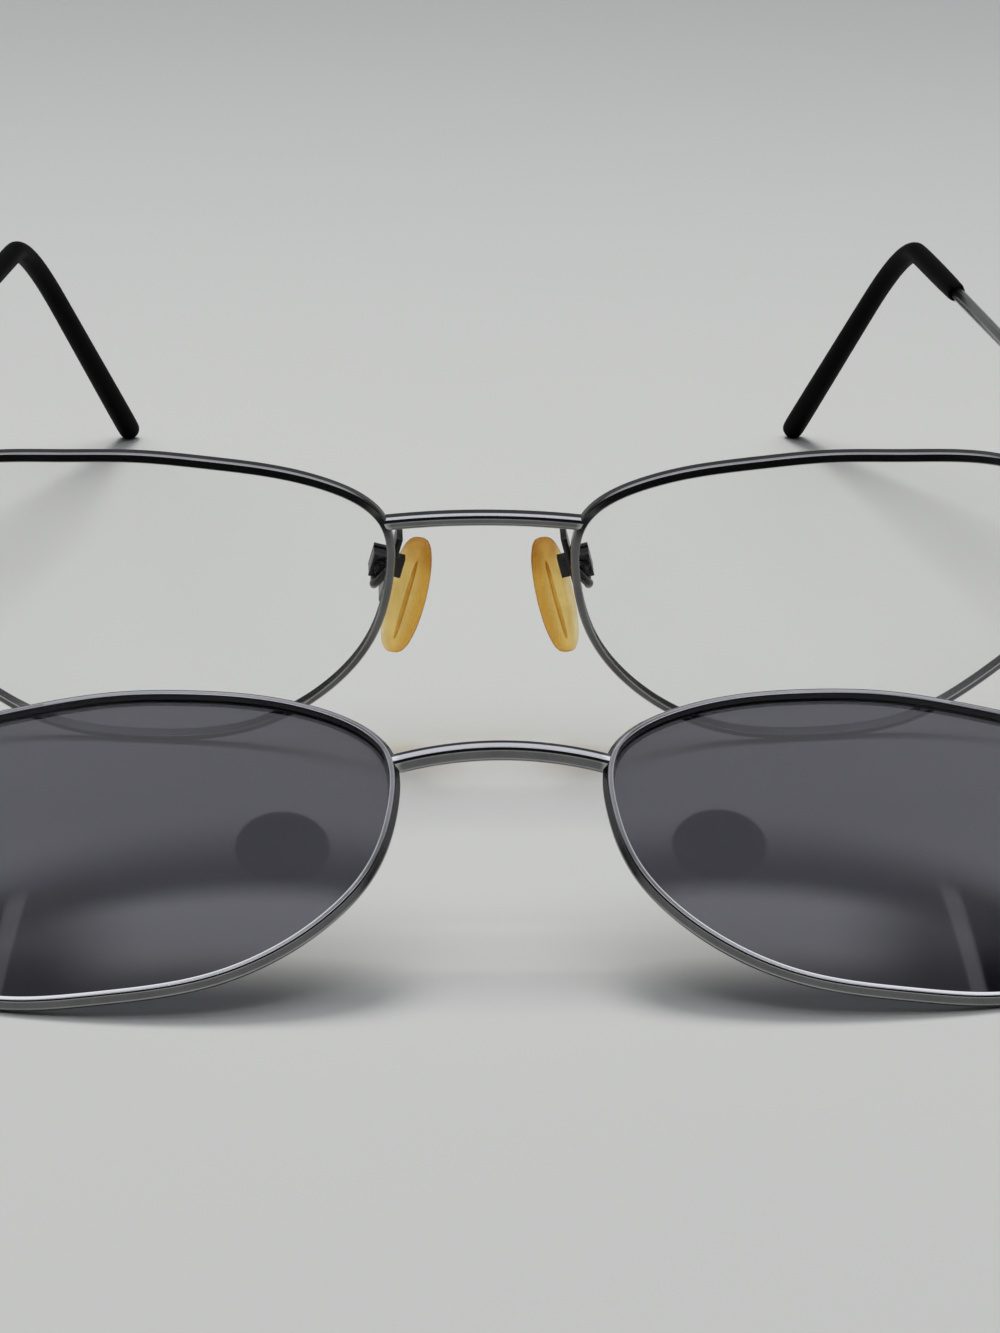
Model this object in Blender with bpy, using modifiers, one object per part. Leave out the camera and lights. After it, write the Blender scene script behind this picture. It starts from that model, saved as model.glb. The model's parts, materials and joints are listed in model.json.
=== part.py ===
"""Thin metal eyeglasses standing open, with a matching sunglass clip propped up in front of them.

Metres, +Z up, resting on the plane Z = 0. The glasses look toward -Y and their temples run
toward +Y. +X is the wearer's left. The origin is under the middle of the whole set.
"""

import math

import bmesh
import bpy
import numpy as np
from mathutils import Matrix, Vector

# Lens shape, shared by the glasses and the clip: sizes of the rim's centre line
LENS_WIDTH = 0.0520
LENS_HEIGHT = 0.0306
LENS_GAP = 0.0181
LENS_CURVE = 0.0880
WRAP = math.radians(8.0)
APEX_INSET = 0.0015
APEX_RISE = 0.0024
# Points of the outline as parts of half the width and half the height, from the temporal side up
OUTLINE = (
    (1.00, 0.16), (0.88, 0.59), (0.64, 0.85), (0.22, 0.97), (-0.06, 1.00), (-0.33, 0.975),
    (-0.75, 0.84), (-0.97, 0.58), (-0.99, 0.16), (-0.92, -0.24), (-0.775, -0.56), (-0.42, -0.91),
    (-0.06, -0.985), (0.31, -0.93), (0.68, -0.58), (0.89, -0.28),
)
OUTLINE_STEPS = 60

# Clearances
GAP = 0.0003
PAD_SWING_GAP = 0.0005

# Rims and lenses
RIM_THICKNESS = 0.0010
RIM_DEPTH = 0.0016
CLIP_RIM_THICKNESS = 0.0009
CLIP_RIM_DEPTH = 0.0013
RIM_ROUNDING = 0.0003
GROOVE_DEPTH = 0.0006
RIM_SPLIT = 0.0004
CLEAR_LENS_THICKNESS = 0.0012
CLIP_LENS_THICKNESS = 0.0008

# Bridges
BRIDGE_LEVEL = 0.0083
BRIDGE_HEIGHT = 0.0016
BRIDGE_DEPTH = 0.0014
BRIDGE_ARCH = 0.0007
CLIP_BRIDGE_LEVEL = 0.0070
CLIP_BRIDGE_HEIGHT = 0.0018
CLIP_BRIDGE_DEPTH = 0.0013
CLIP_BRIDGE_ARCH = 0.0014
CLIP_BRIDGE_BOW = 0.0010
BRIDGE_STEPS = 10
BRIDGE_ROUNDING = 0.0004

# End pieces, closing blocks and their screws
END_PIECE_LEVEL = 0.0070
END_PIECE_HEIGHT = 0.0030
END_PIECE_THICKNESS = 0.0016
END_PIECE_FLARE = 0.0051
SPLIT_LEVEL = 0.0024
BLOCK_WIDTH = 0.0022
BLOCK_DEPTH = 0.0020
BLOCK_SCREW_RADIUS = 0.00035
BLOCK_SCREW_HEAD_RADIUS = 0.0007
SCREW_HEAD_HEIGHT = 0.0005

# Temple hinges: their place behind the lens apex, and the knuckles
HINGE_RUN = 0.0068
KNUCKLE_RADIUS = 0.0011
MIDDLE_KNUCKLE_HEIGHT = 0.0010
HINGE_SCREW_RADIUS = 0.0004
LEAF_THICKNESS = 0.0008
LEAF_LENGTH = 0.0026

# Temples: reach to the bend, and the drop of the covered tip
TEMPLE_LENGTH = 0.0902
TEMPLE_INSET = 0.0109
TEMPLE_FALL = 0.0072
RIGHT_TEMPLE_FOLD = math.radians(1.4)
TEMPLE_WIRE_RADIUS = 0.00068
TEMPLE_TAPER = 0.0240
TIP_REACH = 0.0251
TIP_INSET = 0.0103
TIP_LEAD = 0.0178
TIP_RADIUS = 0.00115
TIP_END_RADIUS = 0.00135
BEND_RUN = 0.0055
BEND_EXIT = 0.0140
CORE_RADIUS = 0.00045
CORE_LENGTH = 0.0055

# Nose pads and their mountings
PAD_HEIGHT = 0.0126
PAD_WIDTH = 0.0070
PAD_THICKNESS = 0.0024
PAD_ROUNDING = 0.0007
PAD_APART = 0.0156
PAD_BACK = 0.0057
PAD_LEVEL = -0.0015
PAD_TILT = math.radians(15.0)
PAD_PIVOT_LEVEL = 0.0014
BOX_HEIGHT = 0.0070
BOX_WIDTH = 0.0034
BOX_PLATE = 0.0006
CHEEK_THICKNESS = 0.0006
CHEEK_HEIGHT = 0.0024
BOSS_WIDTH = 0.0012
BOSS_HEIGHT = 0.0021
PAD_SCREW_RADIUS = 0.00035
PAD_SCREW_HEAD_RADIUS = 0.00075
ARM_RADIUS = 0.00045
ARM_RIM_LEVEL = 0.0030
ARM_SWEEP = 0.0017

# How the two pieces stand
FRONT_LEAN = math.radians(9.1)
CLIP_DISTANCE = 0.0594

# Clip hooks, set by their angle around the lens
HOOK_THICKNESS = 0.0007
HOOK_HEIGHT = 0.0022
HOOK_LIP = 0.0014
UPPER_HOOK_ANGLE = math.radians(28.0)
LOWER_HOOK_ANGLE = math.radians(-10.0)

SIDES = (("left", 1), ("right", -1))
HALF_WIDTH = LENS_WIDTH / 2
HALF_HEIGHT = LENS_HEIGHT / 2
LENS_CENTRE = (LENS_GAP + LENS_WIDTH) / 2
RIM_HALF = RIM_THICKNESS / 2

for old in list(bpy.data.objects):
    bpy.data.objects.remove(old)

PARTS = bpy.data.collections.new("clip_on_eyeglasses")
CUTTERS = bpy.data.collections.new("cutters")
bpy.context.scene.collection.children.link(PARTS)
bpy.context.scene.collection.children.link(CUTTERS)


def make_material(name, colour, roughness, metallic, transmission=0.0, alpha=1.0):
    """A plain Principled material."""
    material = bpy.data.materials.new(name)
    material.use_nodes = True
    shader = material.node_tree.nodes["Principled BSDF"]
    shader.inputs["Base Color"].default_value = (*colour, 1.0)
    shader.inputs["Roughness"].default_value = roughness
    shader.inputs["Metallic"].default_value = metallic
    shader.inputs["Transmission Weight"].default_value = transmission
    shader.inputs["Alpha"].default_value = alpha
    material.diffuse_color = (*colour, 1.0)
    return material


PEWTER = (0.11, 0.11, 0.12)
DARK_STEEL = (0.16, 0.16, 0.17)


def link(ob, parent, collection=PARTS):
    """Put an object in a collection, under its parent."""
    collection.objects.link(ob)
    ob.parent = parent
    return ob


def frame(name, parent, location=(0, 0, 0), lean=0.0):
    """An empty that other pieces hang from, leaning about the X axis."""
    empty = bpy.data.objects.new(name, None)
    empty.empty_display_size = 0.004
    empty.location = location
    empty.rotation_euler = (lean, 0, 0)
    return link(empty, parent, CUTTERS)


def part(name, mesh, parent, colour, roughness, metallic, location=(0, 0, 0), **looks):
    """One named piece with its own material."""
    mesh.name = name
    mesh.materials.clear()
    mesh.materials.append(make_material(name, colour, roughness, metallic, **looks))
    mesh.shade_smooth()
    mesh.set_sharp_from_angle(angle=math.radians(35))
    ob = bpy.data.objects.new(name, mesh)
    ob.location = location
    return link(ob, parent)


def helper(name, mesh, parent, location=(0, 0, 0), rotation=(0, 0, 0)):
    """A solid that only cuts or joins another piece."""
    ob = bpy.data.objects.new(name, mesh)
    ob.location = location
    ob.rotation_euler = rotation
    ob.hide_render = True
    ob.display_type = "WIRE"
    return link(ob, parent, CUTTERS)


def combine(ob, other, operation):
    """Cut another solid from a piece, or join it on."""
    modifier = ob.modifiers.new(operation.lower(), "BOOLEAN")
    modifier.operation = operation
    modifier.solver = "EXACT"
    modifier.object = other


def finish_mesh(bm, name):
    """Close a bmesh with its faces pointing out."""
    bmesh.ops.recalc_face_normals(bm, faces=bm.faces)
    mesh = bpy.data.meshes.new(name)
    bm.to_mesh(mesh)
    bm.free()
    return mesh


def block(size, centre=(0, 0, 0)):
    """A box of the given size."""
    bm = bmesh.new()
    bmesh.ops.create_cube(bm, size=1.0)
    bmesh.ops.scale(bm, vec=Vector(size), verts=bm.verts)
    bmesh.ops.translate(bm, vec=Vector(centre), verts=bm.verts)
    return finish_mesh(bm, "block")


def rod(radius, length, axis="Z", segments=16):
    """A cylinder along one axis, centred on the origin."""
    bm = bmesh.new()
    bmesh.ops.create_cone(bm, cap_ends=True, segments=segments, radius1=radius, radius2=radius,
                          depth=length)
    if axis == "Y":
        bmesh.ops.rotate(bm, verts=bm.verts, matrix=Matrix.Rotation(math.pi / 2, 3, "X"))
    return finish_mesh(bm, "rod")


def loft(rings, name="loft"):
    """Skin a row of closed rings of equal length and close both ends with a fan of faces."""
    bm = bmesh.new()
    rows = [[bm.verts.new(point) for point in ring] for ring in rings]
    count = len(rows[0])
    for first, second in zip(rows, rows[1:]):
        for k in range(count):
            m = (k + 1) % count
            bm.faces.new((first[k], first[m], second[m], second[k]))
    for row in (rows[0], rows[-1]):
        centre = bm.verts.new(sum((v.co for v in row), Vector()) / count)
        for k in range(count):
            bm.faces.new((row[k], row[(k + 1) % count], centre))
    return finish_mesh(bm, name)


def mesh_of_curve(curve_ob):
    """Turn a curve object into a welded, closed mesh and remove the curve."""
    graph = bpy.context.evaluated_depsgraph_get()
    mesh = bpy.data.meshes.new_from_object(curve_ob.evaluated_get(graph))
    bpy.data.objects.remove(curve_ob)
    bm = bmesh.new()
    bm.from_mesh(mesh)
    bmesh.ops.remove_doubles(bm, verts=bm.verts, dist=1e-6)
    return finish_mesh(bm, "swept")


def poly_curve(points, cyclic, dimensions="3D", radii=None):
    """A curve object through the given points."""
    curve = bpy.data.curves.new("path", "CURVE")
    curve.dimensions = dimensions
    spline = curve.splines.new("POLY")
    spline.points.add(len(points) - 1)
    for k, point in enumerate(points):
        spline.points[k].co = (*point, 1.0)
        spline.points[k].radius = radii[k] if radii else 1.0
    spline.use_cyclic_u = cyclic
    ob = bpy.data.objects.new("path", curve)
    bpy.context.scene.collection.objects.link(ob)
    return ob


def sweep(points, section):
    """Carry a flat section along an open path, its second axis kept toward local +Z."""
    profile = poly_curve([(p, q, 0.0) for p, q in section], True, "2D")
    path = poly_curve(points, False)
    path.data.twist_mode = "Z_UP"
    path.data.bevel_mode = "OBJECT"
    path.data.bevel_object = profile
    path.data.use_fill_caps = True
    mesh = mesh_of_curve(path)
    bpy.data.objects.remove(profile)
    return mesh


def wire(points, radius, radii=None):
    """A round wire along a path, its radius scaled at each point."""
    path = poly_curve(points, False, radii=radii)
    path.data.bevel_depth = radius
    path.data.bevel_resolution = 2
    path.data.use_fill_caps = True
    return mesh_of_curve(path)


def flat_plate(points, thickness, rounding=0.0):
    """A flat outline in X and Y with some thickness along Z."""
    path = poly_curve([(x, y, 0.0) for x, y in points], True, "2D")
    path.data.fill_mode = "BOTH"
    path.data.extrude = thickness / 2 - rounding
    path.data.bevel_depth = rounding
    path.data.bevel_resolution = 1
    return mesh_of_curve(path)


def turned(profile, steps=16):
    """A turned solid from a profile of radius and height, given from top to bottom."""
    mesh = bpy.data.meshes.new("turned")
    mesh.from_pydata([(r, 0, z) for r, z in profile],
                     [(k, k + 1) for k in range(len(profile) - 1)], [])
    ob = bpy.data.objects.new("turned", mesh)
    bpy.context.scene.collection.objects.link(ob)
    screw = ob.modifiers.new("turn", "SCREW")
    screw.steps = steps
    screw.render_steps = steps
    screw.use_merge_vertices = True
    screw.merge_threshold = 1e-6
    return mesh_of_curve(ob)


def strip(path, width):
    """Outline of a band that follows a path of X and Y points."""
    points = np.array(path)
    tangents = np.gradient(points, axis=0)
    tangents /= np.linalg.norm(tangents, axis=1)[:, None]
    normals = np.column_stack([-tangents[:, 1], tangents[:, 0]]) * width / 2
    return [*(points + normals).tolist(), *(points - normals)[::-1].tolist()]


# The lens outline
def smooth_outline():
    """Closed cubic curve through the outline's points, stepped evenly along its length."""
    knots = np.array(OUTLINE) * (HALF_WIDTH, HALF_HEIGHT)
    count = len(knots)
    steps = np.linalg.norm(np.roll(knots, -1, axis=0) - knots, axis=1)
    system = np.zeros((count, count))
    right = np.zeros((count, 2))
    for k in range(count):
        before, after = steps[k - 1], steps[k]
        system[k, k - 1] = 1 / before
        system[k, k] = 2 / before + 2 / after
        system[k, (k + 1) % count] = 1 / after
        right[k] = (3 * (knots[k] - knots[k - 1]) / before ** 2
                    + 3 * (knots[(k + 1) % count] - knots[k]) / after ** 2)
    slopes = np.linalg.solve(system, right)
    dense = []
    for k in range(count):
        m = (k + 1) % count
        for t in np.linspace(0, 1, 40, endpoint=False):
            dense.append(knots[k] * (1 + 2 * t) * (1 - t) ** 2 + knots[m] * t * t * (3 - 2 * t)
                         + slopes[k] * steps[k] * t * (1 - t) ** 2
                         + slopes[m] * steps[k] * t * t * (t - 1))
    dense = np.array(dense)
    start = np.argmin(np.abs(dense[:, 1] - SPLIT_LEVEL) + (dense[:, 0] < 0))
    dense = np.roll(dense, -start, axis=0)
    dense = np.vstack([dense, dense[:1]])
    lengths = np.concatenate([[0], np.cumsum(np.linalg.norm(np.diff(dense, axis=0), axis=1))])
    return dense, lengths


DENSE, LENGTHS = smooth_outline()


def along(distance):
    """Point of the outline at a distance from the split, going up and over."""
    return np.array([np.interp(distance, LENGTHS, DENSE[:, k]) for k in range(2)])


def at_angle(angle):
    """Outline point and outward direction at an angle around the lens centre."""
    turns = np.arctan2(DENSE[:, 1], DENSE[:, 0])
    k = int(np.argmin(np.abs(turns - angle)))
    ahead = DENSE[(k + 1) % (len(DENSE) - 1)] - DENSE[k - 1]
    outward = np.array([ahead[1], -ahead[0]]) / np.linalg.norm(ahead)
    return DENSE[k], outward


def depth_at(across, level):
    """How far the lens surface lies behind its apex; across is measured from the lens centre."""
    u = across + APEX_INSET
    v = level - APEX_RISE
    return (u * u + v * v) / (2 * LENS_CURVE) + math.tan(WRAP) * u


def ring_at(offset, shift, scale=1.0):
    """Ring of points inside or outside the rim's centre line, shifted forward by shift."""
    stations = np.linspace(0, LENGTHS[-1], OUTLINE_STEPS, endpoint=False)
    points = np.array([along(s) for s in stations])
    ahead = np.roll(points, -1, axis=0) - np.roll(points, 1, axis=0)
    ahead /= np.linalg.norm(ahead, axis=1)[:, None]
    outward = np.column_stack([ahead[:, 1], -ahead[:, 0]])
    points = (points + outward * offset) * scale
    return [(a, -depth_at(a, v) + shift, v) for a, v in points]


def on_side(points, side):
    """Move lens points to one side of the face: X across, Y back, Z up."""
    return [(side * (a + LENS_CENTRE), -shift, v) for a, shift, v in points]


def eyewire_mesh(side, thickness, depth, lens_thickness):
    """Grooved rim, open at the split on its temporal side."""
    run = np.linspace(RIM_SPLIT / 2, LENGTHS[-1] - RIM_SPLIT / 2, OUTLINE_STEPS)
    path = []
    for station in run:
        a, v = along(station)
        path.append((side * (a + LENS_CENTRE), v, -depth_at(a, v)))
    if side < 0:
        path.reverse()
    out, half = thickness / 2, depth / 2
    mouth = lens_thickness / 2
    section = [
        (-out, -half), (out - RIM_ROUNDING, -half), (out, RIM_ROUNDING - half),
        (out, half - RIM_ROUNDING), (out - RIM_ROUNDING, half), (-out, half),
        (-out, mouth), (GROOVE_DEPTH - out, 0.0), (-out, -mouth),
    ]
    mesh = sweep(path, section)
    mesh.transform(Matrix.Rotation(math.pi / 2, 4, "X"))
    return mesh


def lens_mesh(side, rim_thickness, thickness):
    """Curved lens with a bevelled edge that stands in the rim's groove."""
    edge = -rim_thickness / 2 - GAP
    tip = GROOVE_DEPTH - rim_thickness / 2 - GAP
    half = thickness / 2
    rings = [ring_at(edge, half, 0.34), ring_at(edge, half, 0.70), ring_at(edge, half),
             ring_at(tip, 0.0),
             ring_at(edge, -half), ring_at(edge, -half, 0.70), ring_at(edge, -half, 0.34)]
    return loft([on_side(ring, side) for ring in rings])


def rim_clearance(name, side, thickness, parent):
    """Cutter that keeps a gap round the outside of a rim."""
    ring = np.array(ring_at(thickness / 2 + GAP, 0.0))
    front = [(side * (a + LENS_CENTRE), -HALF_HEIGHT, v) for a, _, v in ring]
    back = [(x, HALF_WIDTH, v) for x, _, v in front]
    return helper(name, loft([front, back]), parent)


def bar_section(height, depth, rounding):
    """Rectangle with cut corners: first axis up, second axis forward."""
    h, d = height / 2, depth / 2
    return [(-h + rounding, -d), (h - rounding, -d), (h, rounding - d), (h, d - rounding),
            (h - rounding, d), (-h + rounding, d), (-h, d - rounding), (-h, rounding - d)]


def bridge_mesh(level, height, depth, arch, bow):
    """Bar from rim to rim, arched upward and bowed forward."""
    reach = LENS_GAP / 2 + 2 * RIM_THICKNESS
    back = depth_at(-HALF_WIDTH, level)
    path = []
    for k in range(BRIDGE_STEPS + 1):
        t = 2 * k / BRIDGE_STEPS - 1
        path.append((-t * reach, level + arch * (1 - t * t), -back + bow * (1 - t * t)))
    mesh = sweep(path, bar_section(height, depth, BRIDGE_ROUNDING))
    mesh.transform(Matrix.Rotation(math.pi / 2, 4, "X"))
    return mesh


def lowest(objects, lean):
    """Height of the lowest corner of some pieces, once their frame leans."""
    low = 1.0
    graph = bpy.context.evaluated_depsgraph_get()
    for ob in objects:
        mesh = ob.evaluated_get(graph).to_mesh()
        for vertex in mesh.vertices:
            y, z = (ob.matrix_local @ vertex.co).yz
            low = min(low, y * math.sin(lean) + z * math.cos(lean))
    return low


# Frames: the whole set, the glasses front and the clip
whole = frame("whole_set", None)
front = frame("glasses_front", whole, lean=FRONT_LEAN)
clip = frame("clip_frame", whole, location=(0, -CLIP_DISTANCE, 0))

# Glasses rims, clear lenses and bridge
eyewires = []
for word, side in SIDES:
    eyewires.append(part(f"{word}_eyewire", eyewire_mesh(side, RIM_THICKNESS, RIM_DEPTH,
                                                          CLEAR_LENS_THICKNESS), front,
                         PEWTER, 0.30, 1.0))
    part(f"{word}_clear_lens", lens_mesh(side, RIM_THICKNESS, CLEAR_LENS_THICKNESS), front,
         (0.95, 0.97, 0.97), 0.03, 0.0, transmission=1.0, alpha=0.25)

front.location.z = -lowest(eyewires, FRONT_LEAN)
clearances = {side: rim_clearance(f"{word}_rim_clearance", side, RIM_THICKNESS, front) for word, side in SIDES}

bridge = part("bridge", bridge_mesh(BRIDGE_LEVEL, BRIDGE_HEIGHT, BRIDGE_DEPTH, BRIDGE_ARCH, 0.0),
              front, PEWTER, 0.28, 1.0)
for cutter in clearances.values():
    combine(bridge, cutter, "DIFFERENCE")

# End pieces: bands that leave the rim's upper corner and turn back to the hinge
RIM_EDGE = LENS_CENTRE + HALF_WIDTH + RIM_HALF
EDGE_BACK = depth_at(HALF_WIDTH, SPLIT_LEVEL)
HINGE_BACK = EDGE_BACK + HINGE_RUN
END_PIECE_X = RIM_EDGE + END_PIECE_FLARE - END_PIECE_THICKNESS / 2
HINGE_X = END_PIECE_X - END_PIECE_THICKNESS / 2 - GAP - KNUCKLE_RADIUS
END_PIECE_BOTTOM = END_PIECE_LEVEL - END_PIECE_HEIGHT / 2


def end_piece_outline(side):
    """Plan of the band from inside the rim's corner to the flat end at the hinge."""
    turn = HINGE_BACK - 0.6 * HINGE_RUN
    path = [(RIM_EDGE - 0.0035, EDGE_BACK - 0.0011), (RIM_EDGE + 0.0008, EDGE_BACK - 0.0006),
            (END_PIECE_X - 0.0014, EDGE_BACK + 0.0004), (END_PIECE_X - 0.0003, turn - 0.0007),
            (END_PIECE_X, turn + 0.0006), (END_PIECE_X, HINGE_BACK - 0.0010),
            (END_PIECE_X, HINGE_BACK)]
    return [(side * x, y) for x, y in strip(path, END_PIECE_THICKNESS)]


for word, side in SIDES:
    mesh = flat_plate(end_piece_outline(side), END_PIECE_HEIGHT)
    end_piece = part(f"{word}_end_piece", mesh, front, PEWTER, 0.30, 1.0,
                     location=(0, 0, END_PIECE_LEVEL))
    combine(end_piece, clearances[side], "DIFFERENCE")

# Closing blocks above and below the rim's split, with the screw that draws them together
BLOCK_X = RIM_EDGE + GAP + BLOCK_WIDTH / 2
UPPER_BLOCK = (SPLIT_LEVEL + RIM_SPLIT / 2, END_PIECE_BOTTOM - GAP)
BLOCK_HEIGHT = UPPER_BLOCK[1] - UPPER_BLOCK[0]
LOWER_BLOCK = (SPLIT_LEVEL - RIM_SPLIT / 2 - BLOCK_HEIGHT, SPLIT_LEVEL - RIM_SPLIT / 2)
for word, side in SIDES:
    place = (side * (BLOCK_X + 0.0001), EDGE_BACK, SPLIT_LEVEL)
    bore = helper(f"{word}_block_bore", rod(BLOCK_SCREW_RADIUS + GAP, 4 * BLOCK_HEIGHT), front,
                  location=place)
    for level, (low, high) in (("upper", UPPER_BLOCK), ("lower", LOWER_BLOCK)):
        size = (BLOCK_WIDTH + 0.0008, BLOCK_DEPTH, high - low)
        shape = block(size, (-side * 0.0004, 0, 0))
        closing = part(f"{word}_{level}_closing_block", shape, front, PEWTER, 0.32, 1.0,
                       location=(side * BLOCK_X, EDGE_BACK, (low + high) / 2))
        combine(closing, clearances[side], "DIFFERENCE")
        combine(closing, bore, "DIFFERENCE")
    head = LOWER_BLOCK[0] - GAP - SPLIT_LEVEL
    top = UPPER_BLOCK[1] - SPLIT_LEVEL
    profile = [(0, top), (BLOCK_SCREW_RADIUS, top), (BLOCK_SCREW_RADIUS, head),
               (BLOCK_SCREW_HEAD_RADIUS, head), (BLOCK_SCREW_HEAD_RADIUS, head - SCREW_HEAD_HEIGHT),
               (0, head - SCREW_HEAD_HEIGHT)]
    part(f"{word}_closing_screw", turned(profile), front, DARK_STEEL, 0.25, 1.0, location=place)

# Temple hinges: two knuckles on the end piece, one on the temple, and the screw through them
HALF_HINGE = END_PIECE_HEIGHT / 2
OUTER_KNUCKLE = HALF_HINGE - MIDDLE_KNUCKLE_HEIGHT / 2 - GAP
LEAF_X = KNUCKLE_RADIUS - LEAF_THICKNESS / 2
LEAF_START = KNUCKLE_RADIUS + GAP
# The photo shows the wearer's right temple standing a little folded in
REST_FOLD = {1: 0.0, -1: -RIGHT_TEMPLE_FOLD}
temple_frames = {}
for word, side in SIDES:
    place = Vector((side * HINGE_X, HINGE_BACK, END_PIECE_LEVEL))
    pivot = frame(f"{word}_temple_pivot", front, location=place)
    pivot.rotation_euler.z = REST_FOLD[side]
    temple_frames[side] = pivot
    bore = helper(f"{word}_hinge_bore", rod(HINGE_SCREW_RADIUS + GAP, 2 * END_PIECE_HEIGHT), front,
                  location=place)

    leaf = part(f"{word}_front_hinge",
                block((LEAF_THICKNESS, LEAF_LENGTH, END_PIECE_HEIGHT),
                      (side * LEAF_X, -LEAF_START - LEAF_LENGTH / 2, 0)),
                front, DARK_STEEL, 0.35, 1.0, location=place)
    for sign in (1, -1):
        level = sign * (HALF_HINGE - OUTER_KNUCKLE / 2)
        web = block((LEAF_THICKNESS, LEAF_START + 0.0002, OUTER_KNUCKLE),
                    (side * LEAF_X, -LEAF_START / 2 - 0.0001, 0))
        at = place + Vector((0, 0, level))
        combine(leaf, helper(f"{word}_front_web_{sign + 1}", web, front, at), "UNION")
        knuckle = rod(KNUCKLE_RADIUS, OUTER_KNUCKLE)
        combine(leaf, helper(f"{word}_front_knuckle_{sign + 1}", knuckle, front, at), "UNION")
    combine(leaf, bore, "DIFFERENCE")

    leaf = part(f"{word}_temple_hinge",
                block((LEAF_THICKNESS, LEAF_LENGTH, END_PIECE_HEIGHT),
                      (side * LEAF_X, LEAF_START + LEAF_LENGTH / 2, 0)),
                pivot, DARK_STEEL, 0.35, 1.0)
    web = block((LEAF_THICKNESS, LEAF_START + 0.0002, MIDDLE_KNUCKLE_HEIGHT),
                (side * LEAF_X, LEAF_START / 2 + 0.0001, 0))
    combine(leaf, helper(f"{word}_temple_web", web, pivot), "UNION")
    combine(leaf, helper(f"{word}_temple_knuckle", rod(KNUCKLE_RADIUS, MIDDLE_KNUCKLE_HEIGHT),
                         pivot), "UNION")
    combine(leaf, bore, "DIFFERENCE")

    top = HALF_HINGE + GAP
    profile = [(0, top + SCREW_HEAD_HEIGHT), (KNUCKLE_RADIUS - GAP, top + SCREW_HEAD_HEIGHT),
               (KNUCKLE_RADIUS - GAP, top), (HINGE_SCREW_RADIUS, top),
               (HINGE_SCREW_RADIUS, -HALF_HINGE), (0, -HALF_HINGE)]
    part(f"{word}_hinge_screw", turned(profile), front, DARK_STEEL, 0.25, 1.0, location=place)

# Temples: flat at the hinge, drawn out to a wire whose thin core runs into the tip
TEMPLE_X = END_PIECE_X - HINGE_X
FRONT_HEIGHT = front.location.z


def temple_line(side):
    """Heel beside the hinge leaf, bend corner and end; the tip rests on the table."""
    heel = Vector((side * TEMPLE_X, LEAF_START + LEAF_LENGTH + GAP, 0))
    corner = Vector((side * (TEMPLE_X - TEMPLE_INSET), TEMPLE_LENGTH, -TEMPLE_FALL))
    end = corner + Vector((-side * TIP_INSET, TIP_REACH, 0))
    sine, cosine = math.sin(FRONT_LEAN), math.cos(FRONT_LEAN)
    fold = Matrix.Rotation(REST_FOLD[side], 3, "Z")
    for _ in range(12):
        out = fold @ (end - corner).normalized()
        level = TIP_END_RADIUS * (1 + out.y * sine + out.z * cosine)
        back = HINGE_BACK + (fold @ end).y
        end.z = (level - FRONT_HEIGHT - back * sine) / cosine - END_PIECE_LEVEL
    return heel, corner, end


def tip_path(side):
    """Middle line of the covered tip: straight lead, rounded bend, straight drop."""
    heel, corner, end = temple_line(side)
    into = (corner - heel).normalized()
    out = (end - corner).normalized()
    first = corner - into * BEND_RUN
    last = corner + out * BEND_EXIT
    mouth = corner - into * (BEND_RUN + TIP_LEAD)
    path = [mouth, first]
    for k in range(1, 9):
        t = k / 9
        path.append(first * (1 - t) ** 2 + corner * 2 * t * (1 - t) + last * t * t)
    path += [last, last.lerp(end, 0.5), end - out * TIP_END_RADIUS]
    radii = [TIP_RADIUS] * (len(path) - 2) + [(TIP_RADIUS + TIP_END_RADIUS) / 2, TIP_END_RADIUS]
    for k in (1, 2, 3):
        turn = k * math.pi / 8
        path.append(end - out * TIP_END_RADIUS * (1 - math.sin(turn)))
        radii.append(TIP_END_RADIUS * math.cos(turn))
    return path, radii


def oblong(centre, half_width, half_height, squareness):
    """Twelve-point ring across the temple: a rectangle at 1, an ellipse at 0."""
    ring = []
    for k in range(12):
        turn = (k + 0.5) * math.pi / 6
        c, s = math.cos(turn), math.sin(turn)
        reach = (1 - squareness) + squareness / max(abs(c), abs(s))
        ring.append(centre + Vector((c * half_width * reach, 0, s * half_height * reach)))
    return ring


for word, side in SIDES:
    pivot = temple_frames[side]
    heel, corner, end = temple_line(side)
    path, radii = tip_path(side)
    mouth = path[0]
    into = (corner - heel).normalized()
    half = END_PIECE_THICKNESS / 2
    rings = [oblong(Vector((heel.x, GAP, heel.z)), half, HALF_HINGE, 1.0)]
    for t in (0.0, 0.25, 0.5, 0.75, 1.0):
        ease = t * t * (3 - 2 * t)
        centre = heel + into * TEMPLE_TAPER * t
        rings.append(oblong(centre, half + (TEMPLE_WIRE_RADIUS - half) * ease,
                            HALF_HINGE + (TEMPLE_WIRE_RADIUS - HALF_HINGE) * ease, 1.0 - ease))
    shoulder = mouth - into * GAP
    rings.append(oblong(shoulder, TEMPLE_WIRE_RADIUS, TEMPLE_WIRE_RADIUS, 0.0))
    rings.append(oblong(shoulder + into * 0.00005, CORE_RADIUS, CORE_RADIUS, 0.0))
    rings.append(oblong(mouth + into * CORE_LENGTH, CORE_RADIUS, CORE_RADIUS, 0.0))
    part(f"{word}_temple", loft(rings), pivot, PEWTER, 0.30, 1.0)

    tip = part(f"{word}_temple_tip", wire(path, 1.0, radii), pivot, (0.012, 0.012, 0.013),
               0.35, 0.0)
    socket = wire([mouth - into * 0.002, mouth + into * (CORE_LENGTH + GAP)], CORE_RADIUS + GAP)
    combine(tip, helper(f"{word}_tip_socket", socket, pivot), "DIFFERENCE")

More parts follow.
